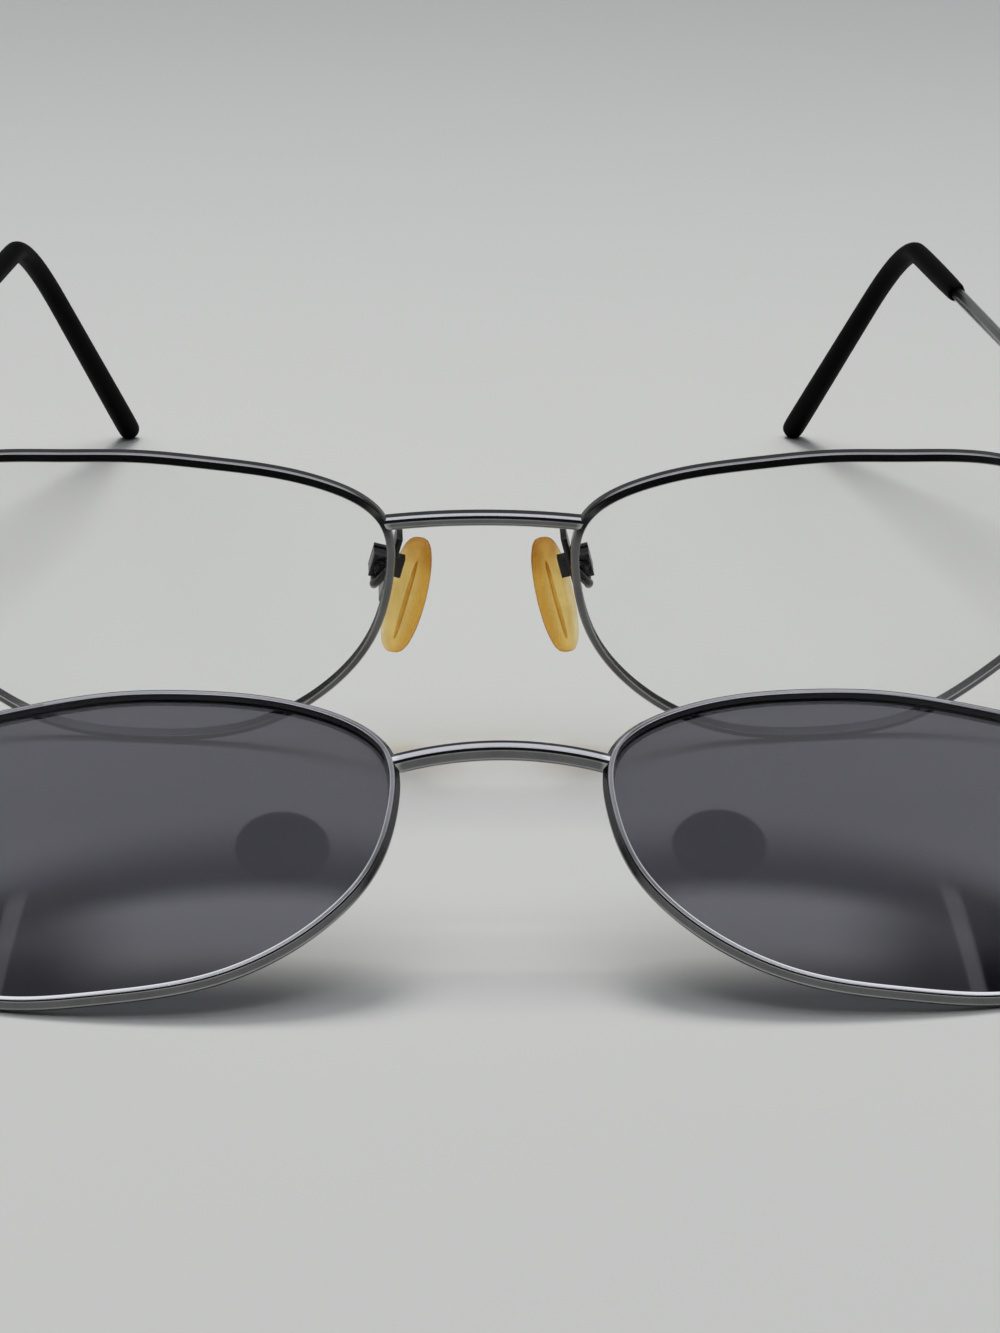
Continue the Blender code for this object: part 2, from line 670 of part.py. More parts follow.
# Nose pads: each rocks on a screw in the box at the end of its arm
PAD_X = PAD_APART / 2
PAD_DROP = PAD_PIVOT_LEVEL - PAD_LEVEL
CHEEK_GAP = BOSS_WIDTH / 2 + GAP
BOX_FACE = PAD_THICKNESS / 2 + PAD_SWING_GAP
SCREW_OUT = BOX_FACE + BOX_PLATE + GAP + PAD_SCREW_RADIUS
for word, side in SIDES:
    lean = Matrix.Rotation(-side * PAD_TILT, 4, "Y")
    centre = Vector((side * PAD_X, PAD_BACK, PAD_LEVEL))
    pivot_spot = centre + lean @ Vector((side * SCREW_OUT, 0, PAD_DROP))
    pivot = frame(f"{word}_pad_pivot", front, location=pivot_spot)
    pivot.rotation_euler = (0, -side * PAD_TILT, 0)

    outline = []
    for k in range(28):
        turn = 2 * math.pi * k / 28
        c, s = math.cos(turn), math.sin(turn)
        outline.append((math.copysign(abs(c) ** 0.85, c) * (PAD_WIDTH / 2 - PAD_ROUNDING),
                        math.copysign(abs(s) ** 0.85, s) * (PAD_HEIGHT / 2 - PAD_ROUNDING)))
    pad_mesh = flat_plate(outline, PAD_THICKNESS, PAD_ROUNDING)
    pad_mesh.transform(Matrix.Rotation(math.pi / 2, 4, "Z") @ Matrix.Rotation(math.pi / 2, 4, "X"))
    pad_mesh.transform(Matrix.Translation((-side * SCREW_OUT, 0, -PAD_DROP)))
    pad = part(f"{word}_nose_pad", pad_mesh, pivot, (0.78, 0.55, 0.20), 0.25, 0.0,
               transmission=0.6)
    reach = SCREW_OUT - PAD_THICKNESS / 4 + BOSS_HEIGHT / 2
    boss = block((reach, BOSS_WIDTH, BOSS_HEIGHT), (side * (BOSS_HEIGHT - reach) / 2, 0, 0))
    combine(pad, helper(f"{word}_pad_boss", boss, pivot), "UNION")
    bore = helper(f"{word}_pad_bore", rod(PAD_SCREW_RADIUS + GAP, 3 * BOX_WIDTH, "Y"), pivot)
    combine(pad, bore, "DIFFERENCE")

    plate_x = BOX_FACE + BOX_PLATE / 2 - SCREW_OUT
    box = part(f"{word}_pad_box",
               block((BOX_PLATE, BOX_WIDTH, BOX_HEIGHT), (side * plate_x, 0, 0)), front,
               DARK_STEEL, 0.35, 1.0, location=pivot_spot)
    box.rotation_euler = (0, -side * PAD_TILT, 0)
    cheek_reach = BOSS_HEIGHT / 2 - plate_x
    for sign in (1, -1):
        cheek = block((cheek_reach, CHEEK_THICKNESS, CHEEK_HEIGHT),
                      (side * (plate_x + cheek_reach / 2), sign * (CHEEK_GAP + CHEEK_THICKNESS / 2), 0))
        combine(box, helper(f"{word}_cheek_{sign + 1}", cheek, pivot), "UNION")
    window = block((4 * BOX_PLATE, 2 * CHEEK_GAP, BOSS_HEIGHT + 2 * PAD_SWING_GAP),
                   (side * plate_x, 0, 0))
    combine(box, helper(f"{word}_box_window", window, pivot), "DIFFERENCE")
    combine(box, bore, "DIFFERENCE")

    outside = CHEEK_GAP + CHEEK_THICKNESS
    profile = [(0, outside + GAP + SCREW_HEAD_HEIGHT),
               (PAD_SCREW_HEAD_RADIUS, outside + GAP + SCREW_HEAD_HEIGHT),
               (PAD_SCREW_HEAD_RADIUS, outside + GAP), (PAD_SCREW_RADIUS, outside + GAP),
               (PAD_SCREW_RADIUS, -outside), (0, -outside)]
    screw_mesh = turned(profile, 12)
    screw_mesh.transform(Matrix.Rotation(math.pi / 2, 4, "X"))
    pad_screw = part(f"{word}_pad_screw", screw_mesh, front, DARK_STEEL, 0.25, 1.0,
                     location=pivot_spot)
    pad_screw.rotation_euler = (0, -side * PAD_TILT, 0)

    # The arm starts on the back of the rim, loops out behind the lens and ends under the box
    nasal = LENS_CENTRE - HALF_WIDTH
    rim_back = depth_at(-HALF_WIDTH, ARM_RIM_LEVEL) + RIM_DEPTH / 2 + GAP + ARM_RADIUS
    under = CHEEK_HEIGHT / 2 + GAP + ARM_RADIUS
    meet = pivot_spot + lean @ Vector((side * 0.0002, 0, -under))
    loop = side * (nasal + ARM_SWEEP)
    rest = Vector((0, CHEEK_GAP + CHEEK_THICKNESS, 0))
    arm = [Vector((side * nasal, rim_back, ARM_RIM_LEVEL + 0.0006)),
           Vector((side * nasal, rim_back, ARM_RIM_LEVEL)),
           Vector((side * (nasal + 0.4 * ARM_SWEEP), rim_back + 0.0003, ARM_RIM_LEVEL - 0.0007)),
           Vector((loop - side * 0.0003, rim_back + 0.0012, ARM_RIM_LEVEL - 0.0020)),
           Vector((loop, meet.y - 0.0024, meet.z + 0.0006)),
           Vector((loop - side * 0.0001, meet.y - 0.0018, meet.z + 0.0001)),
           meet - rest, meet + rest]
    part(f"{word}_pad_arm", wire(arm, ARM_RADIUS), front, DARK_STEEL, 0.30, 1.0)

# The clip: rims, tinted lenses, bridge and hooks
clip_rims = []
for word, side in SIDES:
    clip_rims.append(part(f"{word}_clip_eyewire", eyewire_mesh(side, CLIP_RIM_THICKNESS, CLIP_RIM_DEPTH,
                                                          CLIP_LENS_THICKNESS), clip,
                          PEWTER, 0.30, 1.0))
    part(f"{word}_clip_lens", lens_mesh(side, CLIP_RIM_THICKNESS, CLIP_LENS_THICKNESS), clip, (0.12, 0.12, 0.13),
         0.05, 0.0, alpha=0.85)
clip_clearances = {side: rim_clearance(f"{word}_clip_clearance", side, CLIP_RIM_THICKNESS, clip) for word, side in SIDES}
clip_bridge = part("clip_bridge", bridge_mesh(CLIP_BRIDGE_LEVEL, CLIP_BRIDGE_HEIGHT,
                                              CLIP_BRIDGE_DEPTH, CLIP_BRIDGE_ARCH, CLIP_BRIDGE_BOW),
                   clip, PEWTER, 0.28, 1.0)
for cutter in clip_clearances.values():
    combine(clip_bridge, cutter, "DIFFERENCE")


def hook_mesh():
    """Band beside the rim that runs back past the glasses rim and turns in behind it."""
    half = CLIP_RIM_DEPTH / 2
    side_line = CLIP_RIM_THICKNESS / 2 + GAP + HOOK_THICKNESS / 2
    back_line = half + GAP + RIM_DEPTH + GAP + HOOK_THICKNESS / 2
    path = [(side_line, -half + 0.0002), (side_line, 0.5 * back_line), (side_line, back_line - 0.0006),
            (side_line - 0.0002, back_line - 0.0002), (side_line - 0.0006, back_line),
            (side_line - HOOK_THICKNESS / 2 - HOOK_LIP, back_line)]
    return flat_plate(strip(path, HOOK_THICKNESS), HOOK_HEIGHT)


lower_hooks = []
for word, side in SIDES:
    for level, angle in (("upper", UPPER_HOOK_ANGLE), ("lower", LOWER_HOOK_ANGLE)):
        (across, height), outward = at_angle(angle)
        mesh = hook_mesh()
        turn = -math.atan2(outward[1], outward[0])
        if side < 0:
            mesh.transform(Matrix.Scale(-1, 4, (1, 0, 0)))
            mesh.flip_normals()
        hook = part(f"{word}_{level}_hook", mesh, clip, PEWTER, 0.30, 1.0,
                    location=(side * (LENS_CENTRE + across), depth_at(across, height), height))
        hook.rotation_euler = (0, side * turn, 0)
        if level == "lower":
            lower_hooks.append(hook)

# The clip leans back until its rims and its lower hooks stand on the table together
bpy.context.view_layer.update()
upright, flat = math.radians(20), math.radians(80)
for _ in range(30):
    clip_lean = (upright + flat) / 2
    if lowest(lower_hooks, -clip_lean) > lowest(clip_rims, -clip_lean):
        upright = clip_lean
    else:
        flat = clip_lean
clip.rotation_euler = (-clip_lean, 0, 0)
clip.location.z = -lowest(clip_rims, -clip_lean)

# Centre the set on the origin, front to back
bpy.context.view_layer.update()
graph = bpy.context.evaluated_depsgraph_get()
reach = []
for ob in PARTS.objects:
    mesh = ob.evaluated_get(graph).to_mesh()
    reach += [(ob.matrix_world @ vertex.co).y for vertex in mesh.vertices]
whole.location.y = -(min(reach) + max(reach)) / 2
bpy.context.view_layer.update()
print("clip lean", round(math.degrees(clip_lean), 2), "front height", round(FRONT_HEIGHT, 5))
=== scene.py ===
"""Looks for thin metal eyeglasses that stand open, with a matching tinted clip in front of them.

Lengths are in metres. +X is the wearer's left, +Y runs back along the temples and +Z is up.
"""

import json
import logging
import math
from collections.abc import Callable, Iterator, Sequence
from contextlib import contextmanager
from dataclasses import dataclass
from enum import Enum
from typing import Any

import bpy
import numpy as np
from mathutils import Matrix, Vector


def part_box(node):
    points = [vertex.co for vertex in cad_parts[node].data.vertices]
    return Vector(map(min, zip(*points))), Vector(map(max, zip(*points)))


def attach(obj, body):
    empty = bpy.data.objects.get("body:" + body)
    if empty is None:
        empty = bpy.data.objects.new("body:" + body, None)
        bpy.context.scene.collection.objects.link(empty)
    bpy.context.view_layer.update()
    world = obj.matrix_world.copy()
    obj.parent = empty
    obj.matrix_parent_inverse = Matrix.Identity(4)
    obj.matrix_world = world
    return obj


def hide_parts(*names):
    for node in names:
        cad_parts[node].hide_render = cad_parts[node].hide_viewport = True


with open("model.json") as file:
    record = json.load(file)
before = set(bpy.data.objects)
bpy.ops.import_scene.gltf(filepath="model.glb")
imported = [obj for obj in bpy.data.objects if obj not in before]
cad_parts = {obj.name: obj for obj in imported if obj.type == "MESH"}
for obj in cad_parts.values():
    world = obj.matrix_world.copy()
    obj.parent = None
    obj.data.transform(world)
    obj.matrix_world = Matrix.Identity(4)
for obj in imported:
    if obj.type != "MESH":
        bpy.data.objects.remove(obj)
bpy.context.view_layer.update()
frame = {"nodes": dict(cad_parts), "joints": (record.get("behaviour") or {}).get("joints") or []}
log = logging.getLogger("eyeglasses")

MERGE = 1e-6
SHARP = math.radians(35.0)
HINGE_EASING = 0.00005
LENS_PLAY = 0.0001
# Mesh attributes: the pad's thin flange, its darker top, how strongly metal edges are lightened by
# rubbing and painted highlight, and a painted highlight on front chamfers.
FLANGE, DARKER_TOP, WEAR_AND_HIGHLIGHT, PAINTED_HIGHLIGHT = "flange", "aged", "worn", "bright"
Colour = tuple[float, float, float]
Place = tuple[float, float, float]
Pair = tuple[float, float]
Section = tuple[Pair, ...]


class Side(Enum):
    """The wearer's two sides; the value is the sign of X there."""

    LEFT = 1
    RIGHT = -1

    @property
    def word(self) -> str:
        """The side's name in a piece's name."""
        return self.name.lower()


class Slot(Enum):
    """The record's material slots."""

    METAL = "frame_metal"
    STEEL = "steel"
    CLEAR = "clear_lens"
    TINT = "tinted_lens"
    PAD = "nose_pad"
    TIP = "temple_tip"


class Value:
    """One output in a node tree, on which Python's operators add Math nodes."""

    def __init__(self, graph: "Graph", socket: bpy.types.NodeSocket) -> None:
        """Keep the socket and the tree that it belongs to."""
        self.graph = graph
        self.socket = socket

    def maths(self, operation: str, *operands: Any) -> "Value":
        """Add a Math node.

        Args:
            operation: Blender's name of the operation.
            operands: numbers or values, in order.

        Returns:
            The node's output.
        """
        return self.graph.add("ShaderNodeMath", {"operation": operation}, dict(enumerate(operands)))

    def __add__(self, other: Any) -> "Value":
        """This value plus another."""
        return self.maths("ADD", self, other)

    __radd__ = __add__

    def __sub__(self, other: Any) -> "Value":
        """This value minus another."""
        return self.maths("SUBTRACT", self, other)

    def __rsub__(self, other: Any) -> "Value":
        """Another value minus this one."""
        return self.maths("SUBTRACT", other, self)

    def __mul__(self, other: Any) -> "Value":
        """This value times another."""
        return self.maths("MULTIPLY", self, other)

    __rmul__ = __mul__

    def __truediv__(self, other: Any) -> "Value":
        """This value over another."""
        return self.maths("DIVIDE", self, other)

    def __rtruediv__(self, other: Any) -> "Value":
        """Another value over this one."""
        return self.maths("DIVIDE", other, self)

    def __pow__(self, other: Any) -> "Value":
        """This value to a power."""
        return self.maths("POWER", self, other)

    def __abs__(self) -> "Value":
        """The value without its sign."""
        return self.maths("ABSOLUTE", self)

    def at_least(self, limit: Any) -> "Value":
        """This value, or the limit where that is higher."""
        return self.maths("MAXIMUM", self, limit)

    def at_most(self, limit: Any) -> "Value":
        """This value, or the limit where that is lower."""
        return self.maths("MINIMUM", self, limit)

    def step(self, low: float, high: float) -> "Value":
        """A smooth step.

        Args:
            low: where the step is still 0.
            high: where it has reached 1; it may be the lower number.

        Returns:
            A value from 0 to 1.
        """
        settings = {"interpolation_type": "SMOOTHSTEP"}
        return self.graph.add("ShaderNodeMapRange", settings, {0: self, 1: low, 2: high})


class Graph:
    """The nodes of one material or of the world."""

    def __init__(self, tree: bpy.types.NodeTree) -> None:
        """Start from an empty tree."""
        tree.nodes.clear()
        self.tree = tree

    def add(self, kind: str, settings: dict[str, Any] | None = None,
            inputs: dict[Any, Any] | None = None, output: Any = 0) -> Value:
        """Add any node.

        Args:
            kind: Blender's type name of the node.
            settings: what is set on the node first, such as its operation.
            inputs: a number, colour or linked value for each socket, by name or place.
            output: the name or place of the output that is wanted.

        Returns:
            That output.
        """
        node = self.tree.nodes.new(kind)
        for key, value in (settings or {}).items():
            setattr(node, key, value)
        for key, value in (inputs or {}).items():
            if isinstance(value, Value):
                self.tree.links.new(value.socket, node.inputs[key])
            elif hasattr(value, "__len__") and len(value) == 3 and node.inputs[key].type == "RGBA":
                node.inputs[key].default_value = (*value, 1.0)
            else:
                node.inputs[key].default_value = value
        return Value(self, node.outputs[output])

    def mix(self, share: Any, first: Any, second: Any) -> Value:
        """Blend two colours.

        Args:
            share: 0 for the first colour, 1 for the second.
            first: a colour or a linked value.
            second: a colour or a linked value.

        Returns:
            The blended colour.
        """
        return self.add("ShaderNodeMix", {"data_type": "RGBA"}, {0: share, 6: first, 7: second}, 2)

    def place(self) -> Value:
        """The point of the object being shaded, in metres."""
        return self.add("ShaderNodeTexCoord", output="Object")

    def noise(self, scale: float, detail: float = 3.0, stretch: Place = (1.0, 1.0, 1.0)) -> Value:
        """Cloudy noise over the object.

        Args:
            scale: how many features there are in a metre.
            detail: how many finer octaves are added.
            stretch: how much finer it is along each axis.

        Returns:
            A value from 0 to 1.
        """
        where = self.add("ShaderNodeMapping", inputs={"Vector": self.place(), "Scale": stretch})
        return self.add("ShaderNodeTexNoise",
                        inputs={"Vector": where, "Scale": scale, "Detail": detail})

    def bump(self, height: Value, depth: float) -> Value:
        """A normal from a height that varies from 0 to 1 over the given depth in metres."""
        return self.add("ShaderNodeBump", inputs={"Height": height, "Distance": depth, "Strength": 1.0})

    def attribute(self, name: str) -> Value:
        """A share that a piece's mesh holds, or 0 where it holds none."""
        return self.add("ShaderNodeAttribute", {"attribute_name": name}, output="Fac")

    def facing(self, blend: float) -> Value:
        """How far the surface turns away from the eye."""
        return self.add("ShaderNodeLayerWeight", inputs={"Blend": blend}, output="Facing")

    def blend(self, share: Any, first: Value, second: Value) -> Value:
        """Mix two shaders: 0 for the first, 1 for the second."""
        return self.add("ShaderNodeMixShader", inputs={0: share, 1: first, 2: second})

    def clear(self, passed: Colour) -> Value:
        """A see-through shader that tints what passes."""
        return self.add("ShaderNodeBsdfTransparent", inputs={"Color": passed})

    def output(self, shader: Value, kind: str = "ShaderNodeOutputMaterial") -> None:
        """Send a shader to an output node."""
        node = self.tree.nodes.new(kind)
        self.tree.links.new(shader.socket, node.inputs["Surface"])


@dataclass(frozen=True)
class Finish:
    """A procedural material; each kind of finish fills in its own nodes."""

    name: str

    def material(self) -> bpy.types.Material:
        """Make the finish's material, or find it where it is already made.

        Returns:
            The material.
        """
        found = bpy.data.materials.get(self.name)
        if found is None:
            found = bpy.data.materials.new(self.name)
            found.use_nodes = True
            self.fill(Graph(found.node_tree))
        return found

    def fill(self, graph: Graph) -> None:
        """Add the finish's nodes to a graph."""
        raise NotImplementedError


@dataclass(frozen=True)
class Metal(Finish):
    """Plated metal with a fine satin grain, cloudy tone, and edges lightened by rubbing that also serve
    as painted highlights.
    """

    dark: Colour = (0.120, 0.120, 0.122)
    light: Colour = (0.165, 0.165, 0.166)
    # Lighter colour for edges: partly rubbing, partly a painted highlight.
    rubbed: Colour = (0.56, 0.56, 0.56)
    roughness: float = 0.12
    cloud_scale: float = 420.0
    speck_scale: float = 5200.0
    grain: float = 0.0000010
    # Pointiness range of those edges, and how strongly they lighten, scaled by the mesh attribute for
    # rubbing and painted highlight.
    edges: Pair = (0.501, 0.522)
    least_worn: float = 0.10
    most_worn: float = 0.90

    def fill(self, graph: Graph) -> None:
        """Cloudy tone, edges lightened by rubbing and painted highlight, a painted highlight on front
        chamfers, and grain in the roughness and the normal.

        Args:
            graph: the material's graph.
        """
        clouds = graph.noise(self.cloud_scale, 4.0)
        specks = graph.noise(self.speck_scale, 2.0)
        # Convex edges take the lighter colour, which is partly rubbing and partly a painted highlight.
        edge = graph.add("ShaderNodeNewGeometry", output="Pointiness").step(*self.edges)
        tone = graph.mix((clouds * 0.6 + specks * 0.4).step(0.25, 0.75), self.dark, self.light)
        worn = self.least_worn + (self.most_worn - self.least_worn) * graph.attribute(WEAR_AND_HIGHLIGHT)
        # Faces marked for a painted highlight take the lighter colour in full.
        colour = graph.mix((edge * worn).at_least(graph.attribute(PAINTED_HIGHLIGHT)), tone, self.rubbed)
        rough = self.roughness + 0.06 * clouds + 0.05 * specks - 0.03 * edge
        normal = graph.bump(specks, self.grain)
        graph.output(graph.add("ShaderNodeBsdfPrincipled", inputs={
            "Base Color": colour, "Metallic": 1.0, "Roughness": rough, "Normal": normal}))


@dataclass(frozen=True)
class Glass(Finish):
    """A lens: light passes with a tint, and the polished faces mirror the room."""

    passed: Colour = (0.96, 0.98, 0.975)
    body: Colour = (0.5, 0.5, 0.5)
    cover: float = 0.03
    mirror: float = 0.35
    coat: float = 0.0
    smudge_scale: float = 55.0

    def fill(self, graph: Graph) -> None:
        """A see-through layer under a polished one that grows toward the rim of vision.

        Args:
            graph: the material's graph.
        """
        smudge = graph.noise(self.smudge_scale, 3.0).step(0.35, 0.80)
        share = self.cover + smudge * 0.012 + graph.facing(0.5) ** 4.0 * self.mirror
        gloss = graph.add("ShaderNodeBsdfPrincipled", inputs={
            "Base Color": self.body, "Roughness": 0.015 + smudge * 0.03,
            "Coat Weight": self.coat, "Coat Roughness": 0.01, "Coat IOR": 1.8})
        graph.output(graph.blend(share, graph.clear(self.passed), gloss))


@dataclass(frozen=True)
class Amber(Finish):
    """Soft clear plastic that has yellowed; it is darker toward its top, and along its outline where the
    surface turns from the eye.
    """

    pale: Colour = (0.98, 0.84, 0.46)
    deep: Colour = (0.66, 0.33, 0.05)
    passed: Colour = (0.96, 0.75, 0.32)
    outline: Colour = (0.64, 0.35, 0.07)
    thin: Colour = (0.995, 0.95, 0.80)
    cover: float = 0.05
    cloud_scale: float = 420.0
    grain_scale: float = 1800.0
    grain: float = 0.000006

    def fill(self, graph: Graph) -> None:
        """Translucent amber, paler in its thin flange, with scattered light and a soft gloss.

        Args:
            graph: the material's graph.
        """
        clouds = graph.noise(self.cloud_scale, 4.0).step(0.30, 0.75)
        facing = graph.facing(0.45)
        flange, aged = graph.attribute(FLANGE), graph.attribute(DARKER_TOP)
        # Darker toward the top, and toward the outline where the surface turns from the eye.
        colour = graph.mix(clouds * 0.45 + facing * 0.30 + aged * 0.25, self.pale, self.deep)
        body, edge, thin = (graph.clear(tint) for tint in (self.passed, self.outline, self.thin))
        dark = (facing ** 2.5 * 0.9 + aged * (0.35 + 0.35 * clouds)).at_most(1.0)
        paler = flange * (1 - 0.35 * clouds) * (1 - 0.7 * aged)
        clear = graph.blend(paler, graph.blend(dark, body, edge), thin)
        grain = graph.bump(graph.noise(self.grain_scale, 2.0), self.grain)
        solid = graph.add("ShaderNodeBsdfPrincipled", inputs={
            "Base Color": colour, "Roughness": 0.24 + clouds * 0.12, "Subsurface Weight": 0.6,
            "Subsurface Radius": (0.0016, 0.0010, 0.0004), "Subsurface Scale": 1.0, "Normal": grain})
        share = self.cover + facing * 0.10 + clouds * 0.07 - flange * 0.04
        graph.output(graph.blend(share, clear, solid))


@dataclass(frozen=True)
class Sleeve(Finish):
    """Satin black plastic with a very fine grain and faint rub marks."""

    colour: Colour = (0.0012, 0.0012, 0.0013)
    # Here the lighter colour is only faint rub marks; nothing is painted.
    rubbed: Colour = (0.0032, 0.0032, 0.0034)
    roughness: float = 0.42
    mark_scale: float = 300.0
    mark_stretch: Place = (1.0, 0.12, 0.6)
    grain_scale: float = 3600.0
    grain: float = 0.000004

    def fill(self, graph: Graph) -> None:
        """Near-black tone with long rub marks in its gloss.

        Args:
            graph: the material's graph.
        """
        marks = graph.noise(self.mark_scale, 4.0, self.mark_stretch).step(0.40, 0.75)
        grain = graph.noise(self.grain_scale, 2.0)
        graph.output(graph.add("ShaderNodeBsdfPrincipled", inputs={
            "Base Color": graph.mix(marks, self.colour, self.rubbed),
            "Roughness": self.roughness + 0.12 * grain + 0.08 * marks, "Specular IOR Level": 0.02,
            "Normal": graph.bump(grain, self.grain)}))


@dataclass(frozen=True)
class Tabletop(Finish):
    """Matt pale board with painted shade that darkens its tone toward the back, where the light falls
    off.
    """

    colour: Colour = (0.552, 0.556, 0.524)
    cloudy: Colour = (0.535, 0.540, 0.511)
    shade: Colour = (0.300, 0.306, 0.300)
    fall: Pair = (-0.10, 0.70)
    cloud_scale: float = 14.0
    tooth_scale: float = 1500.0
    tooth: float = 0.00001

    def fill(self, graph: Graph) -> None:
        """Almost even tone with a trace of tooth, and painted shade toward the back.

        Args:
            graph: the material's graph.
        """
        # Painted shade: the colour falls to the shade colour toward the back, standing in for light that
        # falls off there.
        back = graph.add("ShaderNodeSeparateXYZ", inputs={0: graph.place()}, output=1)
        tone = graph.mix(graph.noise(self.cloud_scale, 3.0), self.colour, self.cloudy)
        graph.output(graph.add("ShaderNodeBsdfPrincipled", inputs={
            "Base Color": graph.mix(back.step(*self.fall), tone, self.shade), "Roughness": 0.9,
            "Specular IOR Level": 0.0,
            "Normal": graph.bump(graph.noise(self.tooth_scale), self.tooth)}))


PEWTER = Metal("dark_pewter")
PLAIN_STEEL = Metal("plain_steel", dark=(0.15, 0.15, 0.153), light=(0.21, 0.21, 0.213),
                    rubbed=(0.42, 0.42, 0.42), roughness=0.22)
BLACKENED = Metal("blackened_steel", dark=(0.014, 0.014, 0.015), light=(0.034, 0.034, 0.035),
                  rubbed=(0.14, 0.14, 0.14), roughness=0.26)
CLEAR_GLASS = Glass("clear_glass", passed=(0.993, 0.994, 0.990), cover=0.012, mirror=0.25)
GREY_TINT = Glass("grey_tint", passed=(0.455, 0.455, 0.495), body=(0.006, 0.006, 0.009),
                  cover=0.38, mirror=0.30, coat=0.60)
OLD_AMBER = Amber("old_amber")
AMBER_CORE = Amber("amber_core", pale=(0.52, 0.29, 0.06), deep=(0.30, 0.14, 0.02),
                   passed=(0.90, 0.74, 0.40), outline=(0.80, 0.58, 0.24))
BLACK_SLEEVE = Sleeve("black_sleeve")


def take(piece: bpy.types.Object) -> None:
    """Make a piece the only selected one, and the active one.

    Args:
        piece: the piece.
    """
    bpy.ops.object.select_all(action="DESELECT")
    piece.select_set(True)
    bpy.context.view_layer.objects.active = piece


def new_piece(name: str, add: Callable[..., Any], **sizes: Any) -> bpy.types.Object:
    """Add a primitive.

    Args:
        name: the piece's name.
        add: Blender's operator for the primitive.
        sizes: what the operator takes.

    Returns:
        The new piece.
    """
    bpy.ops.object.select_all(action="DESELECT")
    add(**sizes)
    piece = bpy.context.active_object
    piece.name = name
    piece.data.name = name
    return piece


@contextmanager
def editing(piece: bpy.types.Object, chosen: Callable[[Any], bool] | None = None) -> Iterator[None]:
    """Edit mode on a piece.

    Args:
        piece: the piece to edit.
        chosen: a test for the faces to select; without it, everything is selected.
    """
    take(piece)
    bpy.ops.object.mode_set(mode="EDIT")
    bpy.ops.mesh.select_mode(type="FACE" if chosen else "VERT")
    bpy.ops.mesh.select_all(action="DESELECT" if chosen else "SELECT")
    if chosen:
        bpy.ops.object.mode_set(mode="OBJECT")
        for face in piece.data.polygons:
            face.select = bool(chosen(face))
        bpy.ops.object.mode_set(mode="EDIT")
    yield
    bpy.ops.object.mode_set(mode="OBJECT")


def apply(piece: bpy.types.Object, kind: str, **settings: Any) -> None:
    """Add a modifier and apply it.

    Args:
        piece: the piece.
        kind: Blender's name of the modifier's type.
        settings: what is set on the modifier.
    """
    take(piece)
    modifier = piece.modifiers.new(kind.lower(), kind)
    for key, value in settings.items():
        setattr(modifier, key, value)
    bpy.ops.object.modifier_apply(modifier=modifier.name)


def outward(piece: bpy.types.Object) -> None:
    """Merge doubled points and turn the faces outward.

    Args:
        piece: the piece.
    """
    with editing(piece):
        bpy.ops.mesh.remove_doubles(threshold=MERGE)
        bpy.ops.mesh.normals_make_consistent(inside=False)


def settle(piece: bpy.types.Object, matrix: Matrix) -> None:
    """Put a piece's place into its mesh."""
    piece.data.transform(matrix @ piece.matrix_basis)
    piece.matrix_basis = Matrix.Identity(4)


def scale(share: float) -> None:
    """Scale what is selected along X and Y, about the origin."""
    bpy.ops.transform.resize(value=(share, share, 1.0), center_override=(0.0, 0.0, 0.0))


def extrude(*way: float) -> None:
    """Extrude the selected faces by the given X, Y and Z."""
    bpy.ops.mesh.extrude_region_move(TRANSFORM_OT_translate={"value": way})


def cut(piece: bpy.types.Object, cutter: bpy.types.Object) -> None:
    """Take a cutter's shape out of a piece."""
    apply(piece, "BOOLEAN", operation="DIFFERENCE", solver="EXACT", object=cutter)
    bpy.data.objects.remove(cutter)


def copy_of(node: str, name: str) -> bpy.types.Object:
    """A merged copy of a CAD node, as a start for its finished piece.

    Args:
        node: the CAD node.
        name: the piece's name.

    Returns:
        The copy, in place.
    """
    piece = bpy.data.objects.new(name, frame["nodes"][node].data.copy())
    piece.data.materials.clear()
    bpy.context.scene.collection.objects.link(piece)
    with editing(piece):
        bpy.ops.mesh.customdata_custom_splitnormals_clear()
        bpy.ops.mesh.remove_doubles(threshold=MERGE)
        bpy.ops.mesh.tris_convert_to_quads()
    return piece


def line(points: Sequence[Sequence[float]], outline: bool) -> bpy.types.Object:
    """A curve straight from point to point.

    Args:
        points: where it runs.
        outline: whether it is flat and closed; otherwise it is an open path.

    Returns:
        The curve.
    """
    data = bpy.data.curves.new("line", "CURVE")
    data.dimensions = "2D" if outline else "3D"
    spline = data.splines.new("POLY")
    spline.points.add(len(points) - 1)
    for point, place in zip(spline.points, points):
        point.co = (*place, *([0.0] * (3 - len(place))), 1.0)
    spline.use_cyclic_u = outline
    piece = bpy.data.objects.new("line", data)
    bpy.context.scene.collection.objects.link(piece)
    return piece


def sweep(name: str, path: Sequence[Sequence[float]], section: Sequence[Pair]) -> bpy.types.Object:
    """Carry a flat section along a path.

    Args:
        name: the piece's name.
        path: the points to follow, anticlockwise seen from +Z.
        section: the section's points, outward and then toward +Z.

    Returns:
        The swept solid.
    """
    profile = line(section, outline=True)
    piece = line(path, outline=False)
    piece.data.twist_mode = "Z_UP"
    piece.data.bevel_mode = "OBJECT"
    piece.data.bevel_object = profile
    piece.data.use_fill_caps = True
    take(piece)
    bpy.ops.object.convert(target="MESH")
    piece = bpy.context.active_object
    piece.name = name
    piece.data.name = name
    bpy.data.objects.remove(profile)
    outward(piece)
    return piece


